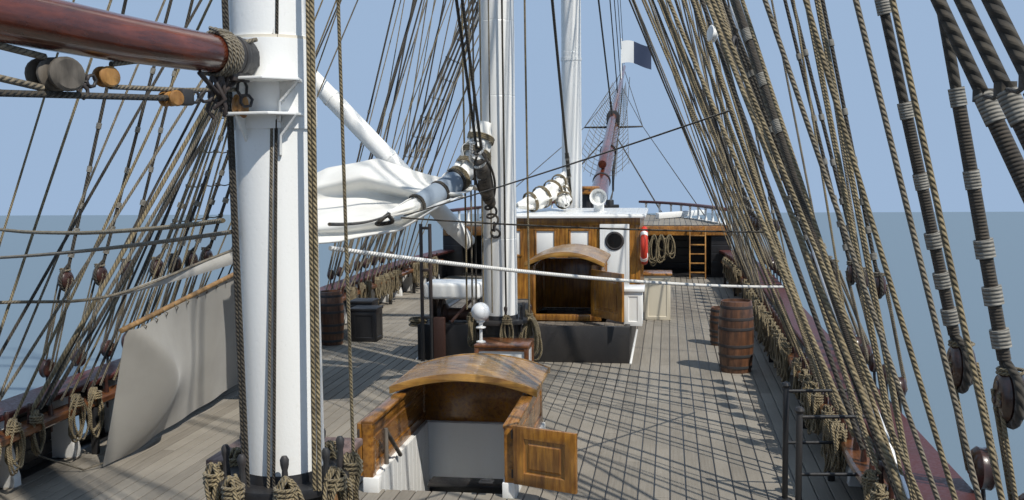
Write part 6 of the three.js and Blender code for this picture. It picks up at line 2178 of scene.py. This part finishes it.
def pump_box():
    """White box with a varnished frame, and the globe lamp on it."""
    chest = block(-1.59, -1.15, -0.47, 0.11, 0.012, 0.69, 0.006)
    inset_face(chest, (-1, 0, 0), [(0.03, 0), (0.006, -0.006)])
    piece(chest, "pump_box_panels", WHITE, replaces=("pump_box",))
    frame_parts = [block(-1.62, -1.12, -0.5, 0.14, 0.7, 0.74, 0.012)]
    for x in (-1.615, -1.175):
        for y in (-0.495, 0.085):
            frame_parts.append(block(x, x + 0.05, y, y + 0.05, 0.012, 0.7, 0.006))
    frame_parts.append(block(-1.605, -1.135, -0.485, 0.125, 0.665, 0.7, 0.006))
    piece(frame_parts, "pump_box_frame", PIN_WOOD)
    x, y = -1.45, 0.085
    globe = turned([(0, 0.0)] + [(0.112 * sin(a), 0.112 - 0.112 * cos(a))
        for a in spread(0.25, pi - 0.001, 20)], (x, y, 0.985), sides=32)
    piece(globe, "lamp_globe", MILK, round_under=60)
    post = turned([(0, 0.74), (0.055, 0.74), (0.055, 0.752), (0.02, 0.765), (0.018, 0.9), (0.055, 0.905),
        (0.06, 0.915), (0.055, 0.925), (0.022, 0.93), (0.026, 0.965), (0.05, 0.98), (0.045, 1.0), (0, 1.0)],
        (x, y, 0), sides=24)
    piece(post, "lamp_post", WHITE, round_under=30)


def hatch_gear():
    """Winch under its white cover, a pair of iron posts, a locker, and coils by the main hatch."""
    iron = [bar((1.0, y, 0.012), (1.0, y, 1.98), 0.026, sides=14, bevel=0.004) for y in (1.27, 1.4)]
    iron += [block(0.975, 1.025, 1.25, 1.42, h, h + 0.04, 0.008) for h in (0.62, 1.3, 1.9)]
    iron += [block(1.16, 1.6, y, y + 0.05, 0.47, 0.9, 0.012) for y in (0.6, 1.28)]
    iron.append(bar((1.38, 0.62, 0.6), (1.38, 1.3, 0.6), 0.05, sides=16, bevel=0.006))
    iron.append(turned([(0, -0.03), (0.2, -0.03), (0.205, -0.01), (0.205, 0.01), (0.2, 0.03), (0, 0.03)],
        (1.38, 1.2, 0.66), (0, 1, 0), 24))
    piece(iron, "hatch_winch_irons", IRON)
    # drum, its stand and its handle under the cover are dark brown as painted shade
    drum = turned([(0, -0.24), (0.15, -0.24), (0.15, -0.21), (0.095, -0.17), (0.09, 0), (0.095, 0.17),
        (0.15, 0.21), (0.15, 0.24), (0, 0.24)], (1.38, 0.92, 0.64), (0, 1, 0), 24)
    piece([drum, block(0.98, 1.08, 1.08, 1.24, 0.012, 0.64, 0.01),
        bar((1.12, 0.62, 0.98), (1.0, 0.98, 0.58), 0.022, sides=12)], "hatch_winch_drum", SHADE_BROWN,
        slot="varnished_wood")
    cover = block(1.0, 1.6, 0.56, 1.4, 0.9, 1.13, 0.05, 4)
    piece(cover, "hatch_winch_cover", WHITE)
    boxed("hatch_locker", ((1.3, 1.8), (-1.74, -1.42), (0.5, 1.04)), "body", 0.05, WHITE, WHITE)
    runs = []
    for k in range(5):
        r = 0.13 - 0.018 * (k % 3)
        runs.append(([(1.22 + r * cos(a), 1.52 + r * sin(a), 0.5 + 0.022 * k)
            for a in spread(0.3 * k, 0.3 * k + TURN, 18)], 0.013))
    runs += coil(-0.47, -0.38, 0.9, 180, 0.5, 0.22, 10, 61, 0.014) + coil(-0.5, 0.34, 0.82, 180, 0.3, 0.12,
        5, 62, 0.011)
    rope(runs, "hatch_coils", 0.013, MANILA, sides=6)
    pins = [at(-0.47, -0.36, 0.86), at(-0.5, 0.36, 0.8)]
    piece(copies(pin_shape(), pins), "main_mast_pins", LIGNUM)
    irons = [bar((-0.6, s * 0.2, 0.8 if s > 0 else 0.86), (-0.47, s * 0.42, 0.8 if s > 0 else 0.86), 0.018,
        sides=10) for s in (-1, 1)]
    piece(irons, "main_mast_pin_irons", IRON)


def chests():
    """Chests and bins about the deck."""
    boxed("mizzen_chest", ((-7.1, -6.5), (-0.07, 0.76), (0.012, 1.0)), "panels", 0.05, FADED, VARNISH_UP)
    boxed("deck_box", ((5.0, 5.6), (-2.14, -1.62), (0.012, 0.85)), "panels", 0.04, VARNISH_LONG,
        SCREEN_PAINT)
    boxed("port_bin_fore", ((2.9, 3.3), (2.72, 3.12), (0.012, 0.6)), "body", 0.05, BLACK, BLACK, 0.015)
    boxed("port_bin_after", ((2.4, 2.8), (2.5, 2.95), (0.012, 0.55)), "body", 0.05, BLACK, BLACK, 0.015)


def cask(x, y, tall, r):
    """Bulged cask and its hoops at a place on the deck."""
    profile = [(0, 0.03), (0.8 * r, 0.03), (0.8 * r, 0.0), (0.86 * r, 0.0)]
    profile += [(r * (0.86 + 0.14 * sin(pi * t)), tall * t) for t in spread(0.05, 0.95, 12)]
    profile += [(0.86 * r, tall), (0.8 * r, tall), (0.8 * r, tall - 0.03), (0, tall - 0.03)]
    hoops = []
    for t in (0.08, 0.24, 0.38, 0.62, 0.76, 0.92):
        rr = r * (0.86 + 0.14 * sin(pi * t)) + 0.005
        hoops.append(turned([(rr - 0.01, -0.02), (rr, -0.018), (rr + 0.002, 0), (rr, 0.018),
            (rr - 0.01, 0.02)], (x, y, tall * t + 0.012), sides=32))
    return turned(profile, (x, y, 0.012), sides=32), hoops


def casks():
    """Three casks; each place is x, y, height and radius."""
    staves, hoops = [], []
    for place in ((0.74, -2.97, 0.95, 0.235), (2.7, -2.86, 0.58, 0.16), (2.2, 3.18, 0.84, 0.2)):
        wood, iron = cask(*place)
        staves.append(wood)
        hoops += iron
    piece(staves, "cask_staves", CASKWOOD, round_under=40)
    piece(hoops, "cask_hoops", IRON, round_under=40)


def ring_buoy():
    """Lifebuoy with four white bands on the deckhouse's starboard side."""
    x, y, h, r = 5.85, -1.63, 1.28, 0.3
    deselect()
    bpy.ops.mesh.primitive_torus_add(location=(x, y, h), rotation=(pi / 2, 0, 0), major_radius=r,
        minor_radius=0.062, major_segments=48, minor_segments=16)
    ring = bpy.context.active_object
    bpy.ops.object.transform_apply(location=True, rotation=True, scale=True)
    piece(ring, "lifebuoy_ring", RED)
    bands = []
    for k in range(4):
        a = pi / 4 + k * pi / 2
        middle, along = Vector((x + r * cos(a), y, h + r * sin(a))), Vector((-sin(a), 0, cos(a))) * 0.04
        bands.append(bar(middle - along, middle + along, 0.066, sides=20))
    piece(bands, "lifebuoy_bands", WHITE)


def cowl():
    """Cowl vent on the deckhouse roof."""
    place = Vector((6.6, -0.74, 1.86))
    pipe = turned([(0, 0), (0.15, 0), (0.15, 0.02), (0.1, 0.03), (0.1, 0.22), (0.115, 0.3), (0.08, 0.38),
        (0, 0.4)], place, (0, 0, 1), 24)
    mouth = turned([(0, 0.03), (0.11, 0.03), (0.15, 0.16), (0.165, 0.17), (0.165, 0.14), (0.12, 0.0),
        (0, -0.04)], place + Vector((-0.03, 0, 0.28)), (-1, 0, 0.15), 24)
    piece([pipe, mouth], "roof_cowl", WHITE, round_under=50)


def entry_rails():
    """Iron stanchions and bars at the starboard entry port."""
    parts = []
    for x, y in ((-4.5, -3.03), (-5.35, -3.03)):
        parts.append(bar((x, y, 0.012), (x, y, 0.97), 0.024, sides=14, bevel=0.004))
        parts.append(turned([(0, 0.012), (0.06, 0.012), (0.06, 0.026), (0.03, 0.035), (0, 0.035)],
            (x, y, 0), sides=18))
        parts.append(turned([(0, -0.035), (0.028, -0.02), (0.036, 0), (0.028, 0.02), (0, 0.035)],
            (x, y, 0.98), sides=16))
        for h in (0.5, 0.93):
            parts.append(bar((x, y, h), (x, -3.6, h + 0.02), 0.014, sides=10))
        parts.append(bar((x, -3.62, 0.66), (x, -3.62, 1.0), 0.02, sides=12, bevel=0.004))
    piece(parts, "entry_rails", BLACK)


pump_box()
hatch_gear()
chests()
casks()
ring_buoy()
cowl()
entry_rails()


# Single ropes round the mizzen, by the main mast and on the starboard side

def single_ropes():
    """Ropes that belong to no set: along the masts, across the deck, and the starboard pendant."""
    mast_ropes = [((-7.95, 0.12), 0.011, "tar"), ((-7.95, 0.1), 0.011, "tar"),
        ((-7.95, -0.01), 0.009, "grey"), ((-7.95, -0.04), 0.009, "tar"), ((-7.93, -0.256), 0.0125, "tan"),
        ((-7.93, -0.284), 0.0125, "tan"), ((-7.5, -0.33), 0.01, "tan"), ((-0.86, 0.3), 0.011, "grey"),
        ((-0.86, 0.25), 0.011, "tar"), ((-0.87, 0.05), 0.009, "grey"), ((-0.87, -0.12), 0.012, "tar"),
        ((-0.82, -0.4), 0.012, "tan"), ((-0.6, 0.42), 0.012, "tan"), ((-0.86, 0.16), 0.01, "tan")]
    groups = {key: [] for key in ROPE_KEYS}
    for (x, y), r, key in mast_ropes:
        top = (MIZZEN_X, copysign(0.32, y), 10.6) if x < -4 else (MAIN_X - 0.28, y * 0.9, 10.6)
        groups[key].append((sag((x, y, 1.0 if x > -4 else 1.12), top, 0.0, 6), r))
    # across to the port side and along it
    groups["tan"].append((sag((-7.92, 0.2, 2.53), (-5.4, 3.4, 2.33), 0.05, 10), 0.013))
    groups["grey"].append((sag((-7.92, 0.16, 2.47), (-5.43, 3.4, 2.09), 0.02, 10), 0.012))
    for k, (x, top) in enumerate(((-5.9, 10.2), (-5.55, 8.8), (-5.1, 11.0), (-4.75, 9.6))):
        foot = Vector((x, 3.5, 0.66))
        groups[("tar", "grey", "tan", "tar")[k]].append((sag(foot, (MAIN_X - 0.2, 0.24, top), 0.05, 8),
            0.014))
    for key, runs in groups.items():
        rope(runs, f"mast_ropes_{key}", 0.011, ROPE_KEYS[key], sides=8, lobes=0.1 if key == "tan" else 0.0)
    rope([(sag((-7.6, -0.26, 2.36), (-2.37, -3.3, 1.53), 0.06, 24), 0.013)], "flecked_line", 0.013, FLECKED,
        sides=8)
    # steel rod that lies along the served pendant, and the pendant's knots
    rod = curve([(-4.05, -2.6, 4.1), (-4.7, -2.9, 3.13), (-5.6, -3.16, 1.95), (-6.4, -3.4, 1.13),
        (-6.75, -3.48, 0.8)], 24)
    rope([(rod, 0.021)], "pendant_rod", 0.021, STEEL, sides=14)
    foot, head = Vector((-6.6, -3.51, 0.66)), Vector((-0.35, -0.24, 12.6))
    knots = []
    for h in (3.0, 3.35, 3.7, 4.1, 4.6, 5.1, 5.7):
        t = (h - foot.z) / (head.z - foot.z)
        p = foot.lerp(head, t)
        knots.append(([p, p + (head - foot).normalized() * 0.11], 0.036))
    rope(knots, "pendant_knots", 0.036, SEIZING, sides=12)
    rope([([foot.lerp(head, 0.06), foot.lerp(head, 0.5)], 0.026)], "pendant_service", 0.026, SERVICE,
        sides=12)
    white_block = pulley(0.12, 1)
    white_block.data.transform(facing((-3.9, -2.46, 3.98), (0.1, 0.15, -1), 0.5))
    piece(white_block, "fall_block", WHITE, round_under=40)
    rope([ring_of((-4.3, -2.61, 3.76), 0.06, (0.3, 1, 0), 0.016, 1, 0),
        ring_of((-4.15, -2.62, 3.66), 0.05, (0.3, 1, 0), 0.014, 1, 0)], "fall_hook", 0.016, IRON, sides=10,
        slot="hull_black")


single_ropes()
